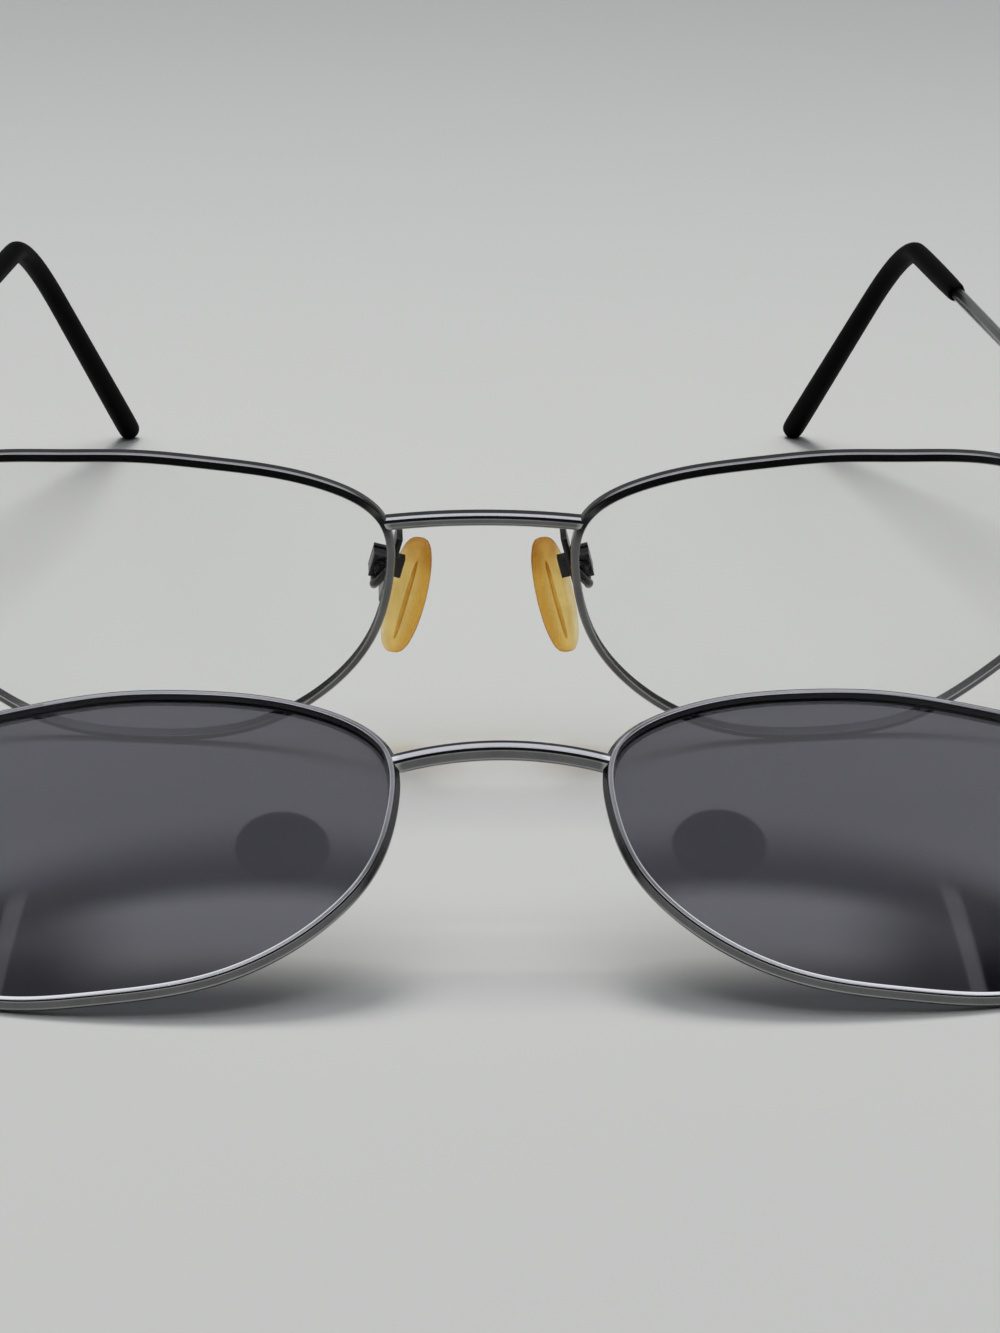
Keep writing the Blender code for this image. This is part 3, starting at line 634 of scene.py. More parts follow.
def eased(corners: Section, radius: float, guards: Section = ((2.6, 0.40), (4.5, 0.48))) -> list[Pair]:
    """A closed outline with eased corners, and points beside each that keep the flats flat.

    Args:
        corners: the outline's corners in order.
        radius: how far from a corner its easing starts.
        guards: how far such points lie from a corner: times its easing, but no more than a share
            of the side.

    Returns:
        The outline's points.
    """
    points = []
    for k, place in enumerate(corners):
        corner = Vector(place)
        ways = [Vector(corners[m % len(corners)]) - corner for m in (k - 1, k + 1)]
        size = min(radius, *(0.3 * way.length for way in ways))
        first, last = (corner + way.normalized() * size for way in ways)
        near, far = ([corner + way.normalized() * min(reach * size, share * way.length) for way in ways]
                     for reach, share in guards)
        points += [far[0], near[0], first, (first + 2 * corner + last) / 4, last, near[1], far[1]]
    return [(point.x, point.y) for point in points]


@dataclass(frozen=True)
class Stand:
    """Where a piece's own upright frame stands: its middle's place and how far it leans."""

    back: float
    up: float
    lean: float

    def matrix(self) -> Matrix:
        """The frame's place in the world."""
        return Matrix.Translation((0.0, self.back, self.up)) @ Matrix.Rotation(self.lean, 4, "X")

    def sweep_matrix(self) -> Matrix:
        """The place of a sweep, whose +Z turns to the front."""
        return self.matrix() @ Matrix.Rotation(math.pi / 2, 4, "X")


FRONT_STAND = Stand(back=-0.031733, up=0.015175, lean=math.radians(9.1))
CLIP_STAND = Stand(back=-0.091133, up=0.011820, lean=math.radians(-53.56))


@dataclass(frozen=True)
class LensShape:
    """The outline and the curve that the rims and lenses of both pieces follow."""

    width: float = 0.0520
    height: float = 0.0306
    gap: float = 0.0181
    curve: float = 0.0880
    wrap: float = math.radians(8.0)
    apex_inset: float = 0.0015
    apex_rise: float = 0.0024
    split_level: float = 0.0024
    fineness: int = 60
    probe: float = 0.0004
    knots: Section = (
        (1.00, 0.16), (0.88, 0.59), (0.64, 0.85), (0.22, 0.97), (-0.06, 1.00), (-0.33, 0.975),
        (-0.75, 0.84), (-0.97, 0.58), (-0.99, 0.16), (-0.92, -0.24), (-0.775, -0.56),
        (-0.42, -0.91), (-0.06, -0.985), (0.31, -0.93), (0.68, -0.58), (0.89, -0.28),
    )

    @property
    def centre(self) -> float:
        """Distance of a lens's centre from the middle of the glasses."""
        return (self.gap + self.width) / 2

    def depth(self, across: float, level: float) -> float:
        """How far the lens lies behind its foremost point."""
        u, v = across + self.apex_inset, level - self.apex_rise
        return (u * u + v * v) / (2 * self.curve) + math.tan(self.wrap) * u

    def dense(self) -> np.ndarray:
        """The smooth closed outline, as a cubic spline through the knots.

        Returns:
            Its points, from the split on the temporal side round to the same point.
        """
        knots = np.array(self.knots) * (self.width / 2, self.height / 2)
        count = len(knots)
        steps = np.linalg.norm(np.roll(knots, -1, axis=0) - knots, axis=1)
        system = np.zeros((count, count))
        right = np.zeros((count, 2))
        for k in range(count):
            m = (k + 1) % count
            before, after = steps[k - 1], steps[k]
            system[k, [k - 1, k, m]] = 1 / before, 2 / before + 2 / after, 1 / after
            right[k] = (3 * (knots[k] - knots[k - 1]) / before ** 2
                        + 3 * (knots[m] - knots[k]) / after ** 2)
        slopes = np.linalg.solve(system, right)
        points = []
        for k in range(count):
            m = (k + 1) % count
            for t in np.linspace(0, 1, self.fineness, endpoint=False):
                points.append(knots[k] * (1 + 2 * t) * (1 - t) ** 2 + knots[m] * t * t * (3 - 2 * t)
                              + slopes[k] * steps[k] * t * (1 - t) ** 2
                              + slopes[m] * steps[k] * t * t * (t - 1))
        points = np.array(points)
        start = np.argmin(np.abs(points[:, 1] - self.split_level) + (points[:, 0] < 0))
        points = np.roll(points, -start, axis=0)
        return np.vstack([points, points[:1]])

    def stations(self, count: int, split: float = 0.0, offset: float = 0.0) -> np.ndarray:
        """Evenly spaced points along the outline.

        Args:
            count: how many points.
            split: the width of the opening at the start, or 0 for a closed ring.
            offset: how far the points lie outside the outline.

        Returns:
            The points, as distance across and height from the lens's centre.
        """
        points = self.dense()
        lengths = np.concatenate([[0], np.cumsum(np.linalg.norm(np.diff(points, axis=0), axis=1))])
        run = np.linspace(split / 2, lengths[-1] - split / 2, count, endpoint=split > 0)
        places = np.array([[np.interp(s, lengths, points[:, k]) for k in range(2)] for s in run])
        near = [[np.interp((s + e) % lengths[-1], lengths, points[:, k]) for k in range(2)]
                for s in run for e in (-self.probe, self.probe)]
        ahead = np.array(near[1::2]) - np.array(near[0::2])
        ahead /= np.linalg.norm(ahead, axis=1)[:, None]
        return places + np.column_stack([ahead[:, 1], -ahead[:, 0]]) * offset


LENS = LensShape()


def add_piece(piece: bpy.types.Object, body: str, finish: Finish, slot: Slot, *nodes: str,
              smooth: float) -> None:
    """Finish a piece and give it to a body.

    Args:
        piece: the piece, already in place.
        body: the CAD body that it moves with.
        finish: its material.
        slot: the record's slot that its finish comes from; not used.
        nodes: the CAD nodes that it stands for.
        smooth: the sharpest angle, in degrees, that is still shaded smooth.
    """
    take(piece)
    bpy.ops.object.shade_smooth_by_angle(angle=math.radians(smooth), keep_sharp_edges=False)
    piece.data.materials.clear()
    piece.data.materials.append(finish.material())
    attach(piece, body)
    if nodes:
        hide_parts(*nodes)
    log.info("%s rides on %s, %d faces", piece.name, body, len(piece.data.polygons))


def mark(piece: bpy.types.Object, name: str, share: Callable[[Any], float],
         domain: str = "POINT") -> None:
    """Store a share from 0 to 1 in a piece's mesh for its material.

    Args:
        piece: the piece.
        name: the attribute's name.
        share: gives the share of a point or a face.
        domain: "POINT" or "FACE".
    """
    items = piece.data.polygons if domain == "FACE" else piece.data.vertices
    values = piece.data.attributes.new(name, "FLOAT", domain)
    for item, value in zip(items, values.data):
        value.value = min(1.0, max(0.0, share(item)))


def wear(piece: bpy.types.Object, worn: Callable[[Vector], float], chamfer_highlight: float = 0.8,
         chamfer: Pair = (0.78, 0.93)) -> None:
    """Mark how strongly a plated piece's edges are lightened by rubbing and painted highlight, and paint
    a highlight on its front chamfer.

    Args:
        piece: the piece, in place.
        worn: gives how strongly its edges are lightened at a place, by rubbing and painted highlight,
            from 0 to 1.
        chamfer_highlight: how strong the painted highlight on the front chamfer is where its edges are
            lightened in full.
        chamfer: the lowest and highest Z of that chamfer's normal.
    """
    low, high = chamfer
    mark(piece, WEAR_AND_HIGHLIGHT, lambda face: worn(face.center), "FACE")
    # Painted highlight: facets that face forward and up, toward the bright roof, are marked.
    mark(piece, PAINTED_HIGHLIGHT, lambda face: chamfer_highlight * worn(face.center) ** 2
         * (face.normal.y < 0 and low < face.normal.z < high), "FACE")


@dataclass
class Rim:
    """One eyewire: a faceted band with eased corners and a groove for the lens."""

    name: str
    side: Side
    stand: Stand
    corners: Section
    lens_thickness: float
    lens_back: float = 0.0
    easing: float = 0.00005
    groove: float = 0.00045
    split: float = 0.0004
    steps: int = 220
    # Edge lightening by rubbing and painted highlight at mid height, and how fast it falls toward the
    # top.
    mid_worn: float = 0.75
    worn_fall: float = 0.9

    def worn(self, place: Vector) -> float:
        """How strongly the edges are lightened, by rubbing and painted highlight: less at the rim's
        sides and toward its top.

        Args:
            place: a point of the rim.

        Returns:
            A share from 0 to 1.
        """
        across = abs(abs(place.x) - LENS.centre) / (LENS.width / 2)
        lift = (place.z - self.stand.up) / LENS.height
        return min(1.0, max(0.0, 1 - across ** 6) * (self.mid_worn - self.worn_fall * lift))

    def section(self) -> list[Pair]:
        """The band's section.

        Returns:
            Its points, outward and then forward, with the groove in its inner wall.
        """
        inner = min(x for x, _ in self.corners)
        mouth, middle = self.lens_thickness / 2, -self.lens_back
        notch = [(inner, middle + mouth), (inner + self.groove, middle), (inner, middle - mouth)]
        return eased(self.corners, self.easing) + notch

    def build(self) -> bpy.types.Object:
        """Model the band.

        Returns:
            The band, in place.
        """
        sign = self.side.value
        path = [(sign * (a + LENS.centre), v, -LENS.depth(a, v))
                for a, v in LENS.stations(self.steps, self.split)]
        piece = sweep(self.name, path if sign > 0 else path[::-1], self.section())
        settle(piece, self.stand.sweep_matrix())
        wear(piece, self.worn)
        return piece


@dataclass
class Lens:
    """One curved lens whose edge stands at the rim's inner wall."""

    name: str
    side: Side
    stand: Stand
    inset: float
    thickness: float
    back: float = 0.0
    points: int = 160
    rings: int = 14

    def build(self) -> bpy.types.Object:
        """Draw a disc of rings onto the lens curve and give it its thickness.

        Returns:
            The lens, in place.
        """
        piece = new_piece(self.name, bpy.ops.mesh.primitive_circle_add, vertices=self.points,
                          radius=1.0, fill_type="NOTHING")
        with editing(piece):
            for k in range(1, self.rings):
                bpy.ops.mesh.extrude_edges_move()
                scale((self.rings - k) / (self.rings - k + 1))
            bpy.ops.mesh.extrude_edges_move()
            bpy.ops.mesh.merge(type="CENTER")
        edge = LENS.stations(self.points, offset=-self.inset)
        for vertex in piece.data.vertices:
            turn = (math.atan2(vertex.co.y, vertex.co.x) / (2 * math.pi)) % 1.0
            k = round(turn * self.points) % self.points
            a, v = edge[k] * vertex.co.xy.length
            vertex.co = (self.side.value * (a + LENS.centre), LENS.depth(a, v) + self.back, v)
        apply(piece, "SOLIDIFY", thickness=self.thickness, offset=0.0)
        outward(piece)
        settle(piece, self.stand.matrix())
        return piece


def rim_prism(side: Side, stand: Stand, reach: float = 0.02, points: int = 120) -> bpy.types.Object:
    """A cutter that fills a rim out to its centre line.

    Args:
        side: the side that the rim is on.
        stand: the frame that it stands in.
        reach: how far the cutter runs in front and behind.
        points: how many points its outline has.

    Returns:
        The cutter, in place.
    """
    piece = new_piece("rim_prism", bpy.ops.mesh.primitive_circle_add, vertices=points, radius=1.0,
                      fill_type="NGON")
    for vertex, (a, v) in zip(piece.data.vertices, LENS.stations(points)):
        vertex.co = (side.value * (a + LENS.centre), -reach, v)
    with editing(piece):
        extrude(0.0, 2 * reach, 0.0)
    outward(piece)
    settle(piece, stand.matrix())
    return piece


@dataclass
class Bridge:
    """The bar between two rims, arched upward; its section's corners lie upward and then forward."""

    name: str
    stand: Stand
    level: float
    arch: float
    bow: float
    corners: Section
    easing: float = 0.00006
    reach: float = 0.01105
    steps: int = 52
    worn: float = 0.75

    def build(self) -> bpy.types.Object:
        """Model the bar and cut its ends to the rims.

        Returns:
            The bar, in place.
        """
        back = LENS.depth(-LENS.width / 2, self.level)
        path = []
        for k in range(self.steps + 1):
            t = 2 * k / self.steps - 1
            path.append((-t * self.reach, self.level + self.arch * (1 - t * t),
                         -back + self.bow * (1 - t * t)))
        piece = sweep(self.name, path, eased(self.corners, self.easing))
        settle(piece, self.stand.sweep_matrix())
        for side in Side:
            cut(piece, rim_prism(side, self.stand))
        # Edges lightened evenly along the bar, by rubbing and painted highlight.
        wear(piece, lambda _: self.worn)
        return piece


@dataclass
class SlottedScrew:
    """A small screw with a domed, slotted head; its head faces +Z before it is placed."""

    node: str
    finish: Metal
    head_radius: float
    head_height: float
    shank_radius: float
    shank_length: float
    slot: float = 0.00018
    slot_rise: float = 1.05
    dome: float = 0.12
    dome_inset: float = 0.3
    easing: float = 0.00004
    sides: int = 32

    def add(self, place: Vector, facing: Vector) -> None:
        """Model the screw, set it and give it to the front.

        Args:
            place: the middle of the head's under side.
            facing: the way that the head faces.
        """
        piece = new_piece(f"{self.node}_finished", bpy.ops.mesh.primitive_cylinder_add,
                          vertices=self.sides, radius=self.head_radius, depth=self.head_height,
                          location=(0.0, 0.0, self.head_height / 2))
        settle(piece, Matrix.Identity(4))
        with editing(piece, lambda face: face.normal.z > 0.9):
            bpy.ops.mesh.inset(thickness=self.dome_inset * self.head_radius)
            bpy.ops.transform.translate(value=(0.0, 0.0, self.dome * self.head_height))
        with editing(piece, lambda face: face.normal.z < -0.9):
            bpy.ops.mesh.inset(thickness=self.head_radius - self.shank_radius)
            extrude(0.0, 0.0, -self.shank_length)
        blade = new_piece("slot", bpy.ops.mesh.primitive_cube_add, size=1.0,
                          location=(0.0, 0.0, self.head_height * self.slot_rise),
                          scale=(self.slot, 3 * self.head_radius, self.head_height))
        cut(piece, blade)
        apply(piece, "BEVEL", width=self.easing, segments=2, limit_method="ANGLE")
        turn = Vector((0, 0, 1)).rotation_difference(facing).to_matrix().to_4x4()
        settle(piece, Matrix.Translation(place) @ turn)
        add_piece(piece, "front", self.finish, Slot.STEEL, self.node, smooth=38)


def polished(node: str, name: str, bevel: float) -> bpy.types.Object:
    """A CAD solid with its sharp edges eased.

    Args:
        node: the CAD node.
        name: the piece's name.
        bevel: how wide the eased edges are.

    Returns:
        The piece, in place.
    """
    piece = copy_of(node, name)
    apply(piece, "BEVEL", width=bevel, segments=2, limit_method="ANGLE", angle_limit=SHARP,
          use_clamp_overlap=True)
    return piece


def add_polished(node: str, body: str, finish: Finish, slot: Slot, bevel: float = 0.00008) -> None:
    """Give a body a polished copy of a CAD node.

    Args:
        node: the CAD node that the piece stands for.
        body: the CAD body that it moves with.
        finish: its material.
        slot: the record's slot that its finish comes from.
        bevel: how wide its eased edges are.
    """
    add_piece(polished(node, f"{node}_finished", bevel), body, finish, slot, node, smooth=38)


def joint(name: str) -> tuple[Vector, Vector]:
    """A joint's place and its axis, from the record."""
    found = next(j for j in frame["joints"] if j["name"] == name)
    return Vector(found["pos_m"]), Vector(found["axis"]).normalized()


@dataclass
class GlassesFront:
    """Rims, clear lenses, bridge and the small fittings at the temporal corners."""

    band: Section = (
        (-0.00030, -0.00080), (0.00035, -0.00080), (0.00050, -0.00065), (0.00050, 0.00022),
        (0.00039, 0.00050), (-0.00030, 0.00080))
    bar: Section = (
        (-0.00050, 0.00030), (-0.00035, 0.00060), (-0.00012, 0.00069), (0.00040, 0.00069),
        (0.00067, 0.00051), (0.00080, 0.00020), (0.00080, -0.00070), (0.00068, -0.00080),
        (-0.00035, -0.00080), (-0.00050, -0.00065))
    lens_thickness: float = 0.0012
    lens_inset: float = 0.00032
    half_hinge: float = 0.0015
    head_gap: float = 0.0003
    screw_head: float = 0.0005
    closing_trim: float = 0.99
    closing_lift: float = 0.0002

    def build(self) -> None:
        """Make all the pieces of the front."""
        for side in Side:
            word = side.word
            rim = Rim(f"{word}_rim", side, FRONT_STAND, self.band, self.lens_thickness)
            add_piece(rim.build(), "front", PEWTER, Slot.METAL, f"{word}_eyewire", smooth=32)
            lens = Lens(f"{word}_glass", side, FRONT_STAND, self.lens_inset,
                        self.lens_thickness - LENS_PLAY)
            add_piece(lens.build(), "front", CLEAR_GLASS, Slot.CLEAR, f"{word}_clear_lens", smooth=40)
            for part in ("end_piece", "upper_closing_block", "lower_closing_block"):
                add_polished(f"{word}_{part}", "front", PEWTER, Slot.METAL)
            add_polished(f"{word}_front_hinge", "front", PLAIN_STEEL, Slot.STEEL, HINGE_EASING)
            self.screws(side)
        bridge = Bridge("bridge_bar", FRONT_STAND, level=0.0083, arch=0.0007, bow=0.0,
                        corners=self.bar)
        add_piece(bridge.build(), "front", PEWTER, Slot.METAL, "bridge", smooth=32)

    def screws(self, side: Side) -> None:
        """Make the hinge screw and the screw that closes the rim.

        Args:
            side: the side that they are on.
        """
        place, axis = joint(f"{side.word}_temple_fold")
        up = axis if axis.z > 0 else -axis
        screw = SlottedScrew(f"{side.word}_hinge_screw", PLAIN_STEEL, head_radius=0.0008,
                             head_height=self.screw_head, shank_radius=0.0004,
                             shank_length=2 * self.half_hinge + self.head_gap)
        screw.add(place + up * (self.half_hinge + self.head_gap), up)
        low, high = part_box(f"{side.word}_closing_screw")
        length = (high.z - low.z - self.screw_head) * self.closing_trim
        screw = SlottedScrew(f"{side.word}_closing_screw", PLAIN_STEEL, head_radius=0.0007,
                             head_height=self.screw_head, shank_radius=0.00035,
                             shank_length=length - self.screw_head)
        screw.add((low + high) / 2 - up * (length / 2) + up * self.closing_lift, -up)


@dataclass
class NosePads:
    """Amber pads with a darker amber pill inside, on their boxes, screws and arms."""

    height: float = 0.0126
    width: float = 0.0070
    thickness: float = 0.0024
    apart: float = 0.0156
    back: float = 0.0057
    level: float = -0.0015
    tilt: float = math.radians(15.0)
    splay: float = math.radians(14.5)
    inward: float = 0.00038
    boss_root: float = 0.00045
    boss_gap: float = 0.00002
    core_height_share: float = 0.70
    core_width_share: float = 0.10
    core_forward_share: float = 0.18
    core_thickness: float = 0.00035
    core_shift: float = 0.0004
    box_easing: float = 0.00006
    screw_rise: float = 0.0018
    layers: int = 8
    crown: float = 0.55
    fullness: float = 5.0
    flange_share: float = 0.35
    aged_from: float = 0.26
    aged_run: float = 0.14

    def place(self, side: Side) -> Matrix:
        """The pad's own frame.

        Args:
            side: the side that the pad is on.

        Returns:
            Its place, with X away from the nose and Z up along the pad.
        """
        spot = Vector((side.value * self.apart / 2, self.back, self.level))
        lean = Matrix.Rotation(-side.value * self.tilt, 4, "Y")
        turn = Matrix.Identity(4) if side is Side.LEFT else Matrix.Rotation(math.pi, 4, "Z")
        return FRONT_STAND.matrix() @ Matrix.Translation(spot) @ lean @ turn

    def pill(self, name: str, height: float, width: float, thickness: float,
             shift: float) -> bpy.types.Object:
        """A flat oblong with a crowned face on both sides; its edge is an ellipse at fullness 2.

        Args:
            name: the piece's name.
            height: its length along Z.
            width: its length along Y.
            thickness: its length along X.
            shift: its middle's place along X.

        Returns:
            The piece, in the pad's frame.
        """
        piece = new_piece(name, bpy.ops.mesh.primitive_circle_add, vertices=40, radius=1.0,
                          fill_type="NGON")
        scales = []
        for k in range(self.layers + 1):
            t = -math.cos(math.pi * k / self.layers)
            edge = (1 - abs(t) ** self.fullness) ** (1 / self.fullness)
            scales.append((t, max(self.crown, edge)))
        with editing(piece):
            scale(scales[0][1])
            for (low, before), (high, after) in zip(scales, scales[1:]):
                extrude(0.0, 0.0, high - low)
                scale(after / before)
        for vertex in piece.data.vertices:
            x, y, z = vertex.co
            vertex.co = (shift + z * thickness / 2, x * width / 2, y * height / 2)
        low = min(vertex.co.x for vertex in piece.data.vertices)
        middle = shift - low - thickness / 2
        piece.data.transform(Matrix.Translation((middle, 0.0, 0.0)))
        outward(piece)
        apply(piece, "SUBSURF", levels=1, render_levels=1)
        mark(piece, FLANGE, lambda vertex: (vertex.co.x - shift) / (self.flange_share * thickness))
        mark(piece, DARKER_TOP, lambda vertex: (vertex.co.z / height - self.aged_from) / self.aged_run)
        return piece

    def build(self) -> None:
        """Make both pads and what carries them."""
        for side in Side:
            word = side.word
            body = f"{word}_pad"
            stand = (self.place(side) @ Matrix.Translation((-self.inward, 0.0, 0.0))
                     @ Matrix.Rotation(-side.value * self.splay, 4, "Z"))
            pad = self.pill(f"{word}_pad_body", self.height, self.width, self.thickness, 0.0)
            settle(pad, stand)
            add_piece(pad, body, OLD_AMBER, Slot.PAD, f"{word}_nose_pad", smooth=60)
            # A darker amber pill inside the pad, which gives a darker band down its middle.
            core = self.pill(f"{word}_pad_core", self.core_height_share * self.height,
                             self.core_width_share * self.width, self.core_thickness, self.core_shift)
            forward = self.core_forward_share * self.width
            settle(core, stand @ Matrix.Translation((0.0, -side.value * forward, 0.0)))
            add_piece(core, body, AMBER_CORE, Slot.PAD, smooth=60)
            self.stem(side)
            add_polished(f"{word}_pad_box", "front", BLACKENED, Slot.STEEL, self.box_easing)
            arm = copy_of(f"{word}_pad_arm", f"{word}_pad_arm_finished")
            apply(arm, "SUBSURF", levels=1, render_levels=1)
            add_piece(arm, "front", BLACKENED, Slot.STEEL, f"{word}_pad_arm", smooth=60)
            place, axis = joint(f"{word}_pad_rock")
            screw = SlottedScrew(f"{word}_pad_screw", BLACKENED, head_radius=0.00075,
                                 head_height=0.0005, shank_radius=0.00035, shank_length=0.0033)
            screw.add(place - axis * self.screw_rise, -axis)

    def stem(self, side: Side) -> None:
        """Make the stud behind a pad, which the screw passes through.

        Args:
            side: the side that the pad is on.
        """
        piece = copy_of(f"{side.word}_nose_pad", f"{side.word}_pad_stem")
        matrix = self.place(side)
        out = (matrix.to_3x3() @ Vector((1.0, 0.0, 0.0))).normalized()
        spot = matrix @ Vector((self.thickness / 2 + self.boss_gap, 0.0, 0.0))
        with editing(piece):
            bpy.ops.mesh.bisect(plane_co=spot, plane_no=out, use_fill=True, clear_inner=True,
                                threshold=MERGE)
        for vertex in piece.data.vertices:
            if abs((vertex.co - spot).dot(out)) < self.boss_gap / 2:
                vertex.co -= out * self.boss_root
        outward(piece)
        add_piece(piece, f"{side.word}_pad", BLACKENED, Slot.PAD, smooth=38)


@dataclass
class Temples:
    """The two bars with their hinge leaves and the black sleeves on their ends."""

    sleeve_fatten: float = 0.00020
    bar_fatten: float = 0.00012
    bar_easing: float = 0.00004
    rear_start: float = 0.02

    def build(self) -> None:
        """Make both temples."""
        for side in Side:
            word = side.word
            body = f"{word}_side"
            bar = polished(f"{word}_temple", f"{word}_temple_bar", self.bar_easing)
            bar.vertex_groups.new(name="rear").add(
                [vertex.index for vertex in bar.data.vertices if vertex.co.y > self.rear_start],
                1.0, "ADD")
            apply(bar, "DISPLACE", strength=self.bar_fatten, mid_level=0.0, vertex_group="rear")
            add_piece(bar, body, PEWTER, Slot.METAL, f"{word}_temple", smooth=50)
            add_polished(f"{word}_temple_hinge", body, PLAIN_STEEL, Slot.STEEL, HINGE_EASING)
            tip = copy_of(f"{word}_temple_tip", f"{word}_tip_sleeve")
            apply(tip, "SUBSURF", levels=2, render_levels=2)
            apply(tip, "DISPLACE", strength=self.sleeve_fatten, mid_level=0.0)
            for vertex in tip.data.vertices:
                vertex.co.z = max(vertex.co.z, 0.0)
            add_piece(tip, body, BLACK_SLEEVE, Slot.TIP, f"{word}_temple_tip", smooth=60)


@dataclass
class SunClip:
    """The tinted clip: rims, lenses, bridge and hooks."""

    band: Section = (
        (-0.00045, -0.00065), (0.00008, -0.00065), (0.00045, -0.00026), (0.00045, 0.0),
        (0.00004, 0.000585), (-0.00009, 0.00065), (-0.00045, 0.00065))
    bar: Section = (
        (0.000845, 0.00010), (0.00040, 0.00032), (-0.00005, 0.00035), (-0.00029, 0.00022),
        (-0.00071, -0.00046), (-0.00071, -0.00075), (-0.00056, -0.00085), (0.00065, -0.00085),
        (0.000845, -0.00065))
    lens_thickness: float = 0.0005
    lens_inset: float = 0.00047
    lens_back: float = 0.00038
    hook_easing: float = 0.00010

    def build(self) -> None:
        """Make all the pieces of the clip."""
        for side in Side:
            word = side.word
            rim = Rim(f"{word}_clip_rim", side, CLIP_STAND, self.band, self.lens_thickness,
                      self.lens_back)
            add_piece(rim.build(), "clip", PEWTER, Slot.METAL, f"{word}_clip_eyewire", smooth=32)
            lens = Lens(f"{word}_clip_glass", side, CLIP_STAND, self.lens_inset,
                        self.lens_thickness - LENS_PLAY, self.lens_back)
            add_piece(lens.build(), "clip", GREY_TINT, Slot.TINT, f"{word}_clip_lens", smooth=40)
            for level in ("upper", "lower"):
                add_polished(f"{word}_{level}_hook", "clip", PEWTER, Slot.METAL, self.hook_easing)
        bridge = Bridge("clip_bridge_bar", CLIP_STAND, level=0.0069, arch=0.0014, bow=0.0010,
                        corners=self.bar)
        add_piece(bridge.build(), "clip", PEWTER, Slot.METAL, "clip_bridge", smooth=32)


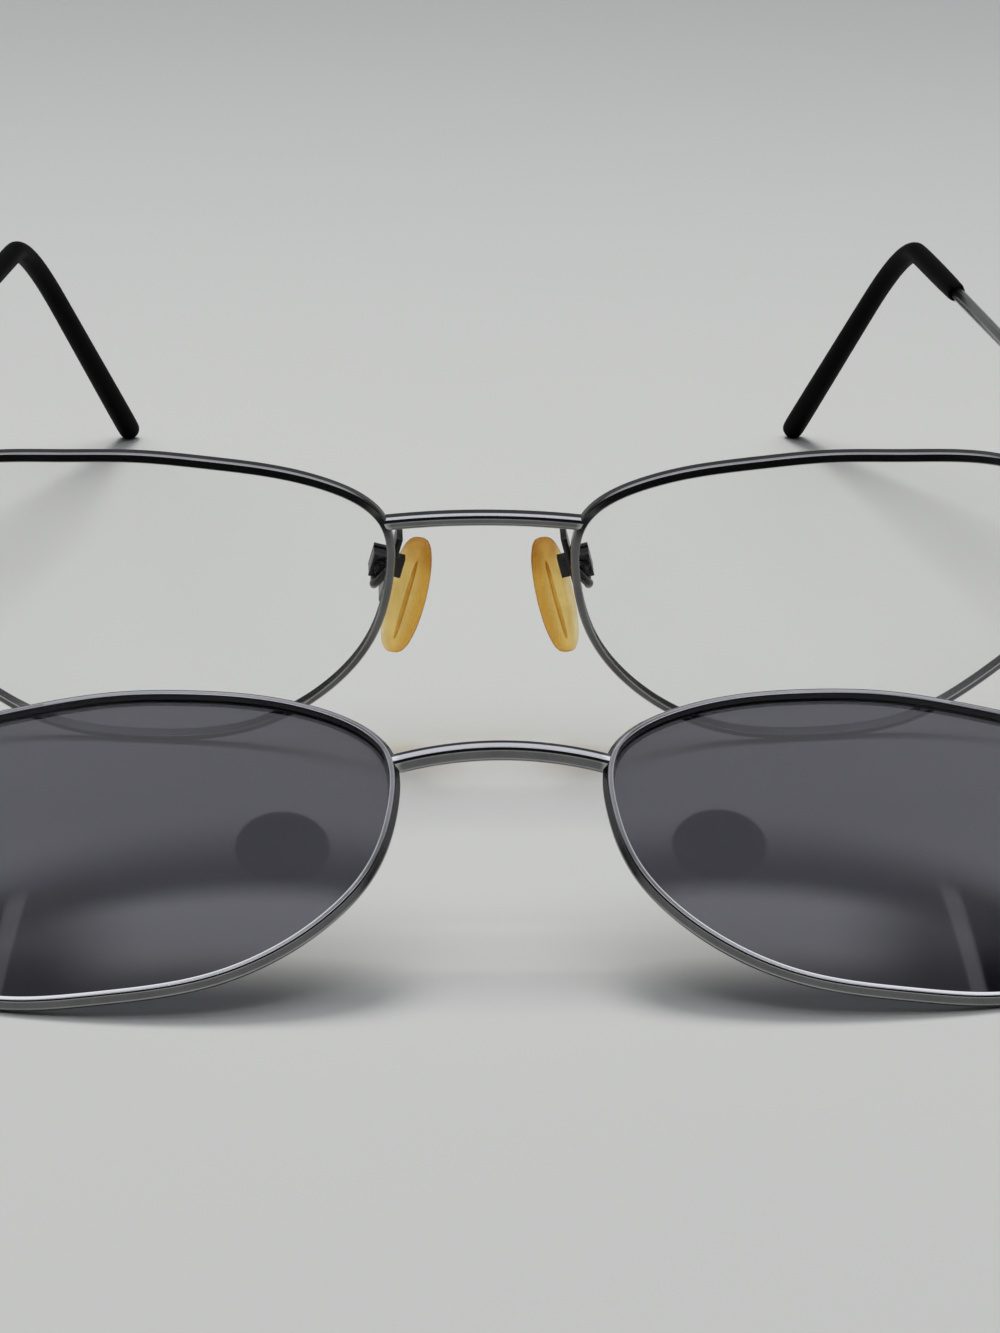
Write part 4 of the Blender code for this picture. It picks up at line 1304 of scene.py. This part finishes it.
@dataclass
class Tent:
    """A white tent round the table, whose brightness depends only on the direction.

    Its roof is taken as flat: "across" is how far to the side a direction meets it and "along"
    how far back, both in heights of the roof. An edge gives where a change starts and ends.
    """

    plain: Colour = (0.53, 0.54, 0.52)
    low_tone: Colour = (0.96, 0.99, 0.96)
    high_tone: Colour = (0.97, 0.98, 1.06)
    tone_edge: Pair = (0.1, 0.9)
    roof: float = 1.60
    least_rise: float = 0.15
    port: Place = (0.031, -0.125, 0.990)
    port_radius: float = 0.088
    port_blur: float = 0.04
    port_loss: float = 0.93
    dim_edge: Pair = (-0.03, -0.19)
    dim_loss: float = 0.92
    row_edge: Pair = (-0.200, -0.275)
    row_sides: Pair = (0.50, 0.22)
    row_front: Pair = (-0.50, -0.36)
    row_low: float = 0.35
    row_rise: float = 1.15
    strip_place: float = 0.43
    strip_slant: float = 0.47
    strip_sides: Pair = (0.030, 0.018)
    strip_edge: Pair = (-0.13, -0.18)
    strip_glow: float = 0.9
    outer_sides: Pair = (0.010, 0.025)
    outer_edge: Pair = (-0.12, -0.18)
    outer_loss: float = 0.95
    back_edge: Pair = (0.38, 1.00)
    back_loss: float = 0.88
    side_edge: Pair = (0.60, 1.15)
    side_loss: float = 0.85
    front_edge: Pair = (-0.55, -0.85)
    front_loss: float = 0.95
    wall_top: Pair = (0.50, 0.25)
    wall_turn: Pair = (-0.45, 0.35)
    wall_low: float = 0.02
    wall_rise: float = 0.30

    def above(self, graph: Graph, way: Value, across: Value, along: Value) -> Value:
        """How bright the roof is.

        Args:
            graph: the world's graph.
            way: the direction.
            across: how far to the side the direction meets the roof.
            along: how far back it meets the roof.

        Returns:
            The brightness in that direction.
        """
        gap = graph.add("ShaderNodeVectorMath", {"operation": "DISTANCE"},
                        {0: way, 1: Vector(self.port).normalized()}, "Value")
        port = gap.step(self.port_radius * (1 + self.port_blur), self.port_radius * (1 - self.port_blur))
        dim = along.step(*self.dim_edge)
        cloth = (1 - self.dim_loss * dim) * (1 - self.port_loss * port)
        row = self.row_low + self.row_rise * across.step(*self.row_sides) * along.step(*self.row_front)
        near = along.step(*self.row_edge)
        bright = self.roof * (cloth * (1 - near) + row * near)
        beyond = across - (self.strip_place - self.strip_slant * along)
        outer = beyond.step(*self.outer_sides) * along.step(*self.outer_edge)
        strip = abs(beyond).step(*self.strip_sides) * dim * along.step(*self.strip_edge)
        bright = bright * (1 - self.outer_loss * outer) + strip * self.strip_glow
        for loss, place, edge in ((self.back_loss, along, self.back_edge),
                                  (self.side_loss, across, self.side_edge),
                                  (self.front_loss, along, self.front_edge)):
            bright = bright * (1 - loss * place.step(*edge))
        return bright

    def build(self) -> None:
        """Make the world; the camera sees a plain tone in place of the tent."""
        world = bpy.data.worlds.new("tent")
        bpy.context.scene.world = world
        world.use_nodes = True
        graph = Graph(world.node_tree)
        way = graph.add("ShaderNodeTexCoord", output="Generated")
        nodes = graph.add("ShaderNodeSeparateXYZ", inputs={0: way}).socket.node
        x, y, z = (Value(graph, nodes.outputs[k]) for k in range(3))
        rise = z.at_least(self.least_rise)
        low = z.step(*self.wall_top)
        wall = self.wall_low + self.wall_rise * y.step(*self.wall_turn)
        bright = self.above(graph, way, abs(x / rise), y / rise) * (1 - low) + low * wall
        tone = graph.mix(z.step(*self.tone_edge), self.low_tone, self.high_tone)
        lit = graph.add("ShaderNodeBackground", inputs={"Color": tone, "Strength": bright})
        plain = graph.add("ShaderNodeBackground", inputs={"Color": self.plain, "Strength": 1.0})
        seen = graph.add("ShaderNodeLightPath", output="Is Camera Ray")
        graph.output(graph.blend(seen, lit, plain), "ShaderNodeOutputWorld")


@dataclass
class Studio:
    """A pale board in a white tent, with one large soft lamp above and behind."""

    board: float = 9.0
    key_power: float = 12.0
    key_size: float = 0.55
    key_place: Place = (-0.10, 0.72, 1.20)

    def build(self) -> None:
        """Lay the board and light it."""
        floor = new_piece("board", bpy.ops.mesh.primitive_plane_add, size=self.board)
        floor.data.materials.append(Tabletop("pale_board").material())
        self.light()
        Tent().build()

    def light(self) -> None:
        """Hang the lamp, which no ray from the camera or a mirror sees."""
        data = bpy.data.lights.new("soft_key", "AREA")
        data.shape = "DISK"
        data.size = self.key_size
        data.energy = self.key_power
        lamp = bpy.data.objects.new("soft_key", data)
        lamp.location = self.key_place
        lamp.rotation_euler = (-Vector(self.key_place)).to_track_quat("-Z", "Y").to_euler()
        lamp.visible_camera = False
        lamp.visible_glossy = False
        bpy.context.scene.collection.objects.link(lamp)


@dataclass
class PhotoCamera:
    """The camera at the photograph's angle."""

    place: Place = (-0.01202, -0.411668, 0.12321)
    pitch: float = math.radians(16.75)
    yaw: float = math.radians(2.08)
    roll: float = math.radians(-0.49)
    lens: float = 108.59
    sensor: float = 36.0

    def build(self) -> None:
        """Set up the camera and make it the scene's."""
        data = bpy.data.cameras.new("photo_camera")
        data.lens = self.lens
        data.sensor_width = self.sensor
        data.clip_start = 0.01
        camera = bpy.data.objects.new("photo_camera", data)
        place = Matrix.Translation(self.place)
        for angle, axis in ((-self.yaw, "Z"), (math.pi / 2 - self.pitch, "X"), (-self.roll, "Z")):
            place = place @ Matrix.Rotation(angle, 4, axis)
        camera.matrix_world = place
        bpy.context.scene.collection.objects.link(camera)
        bpy.context.scene.camera = camera


def main() -> None:
    """Build every sub-assembly, then the studio and the camera."""
    logging.basicConfig(level=logging.INFO, format="%(name)s: %(message)s")
    for assembly in (GlassesFront(), NosePads(), Temples(), SunClip(), Studio(), PhotoCamera()):
        assembly.build()
    bpy.context.scene.view_settings.view_transform = "Standard"


if __name__ == "__main__":
    main()
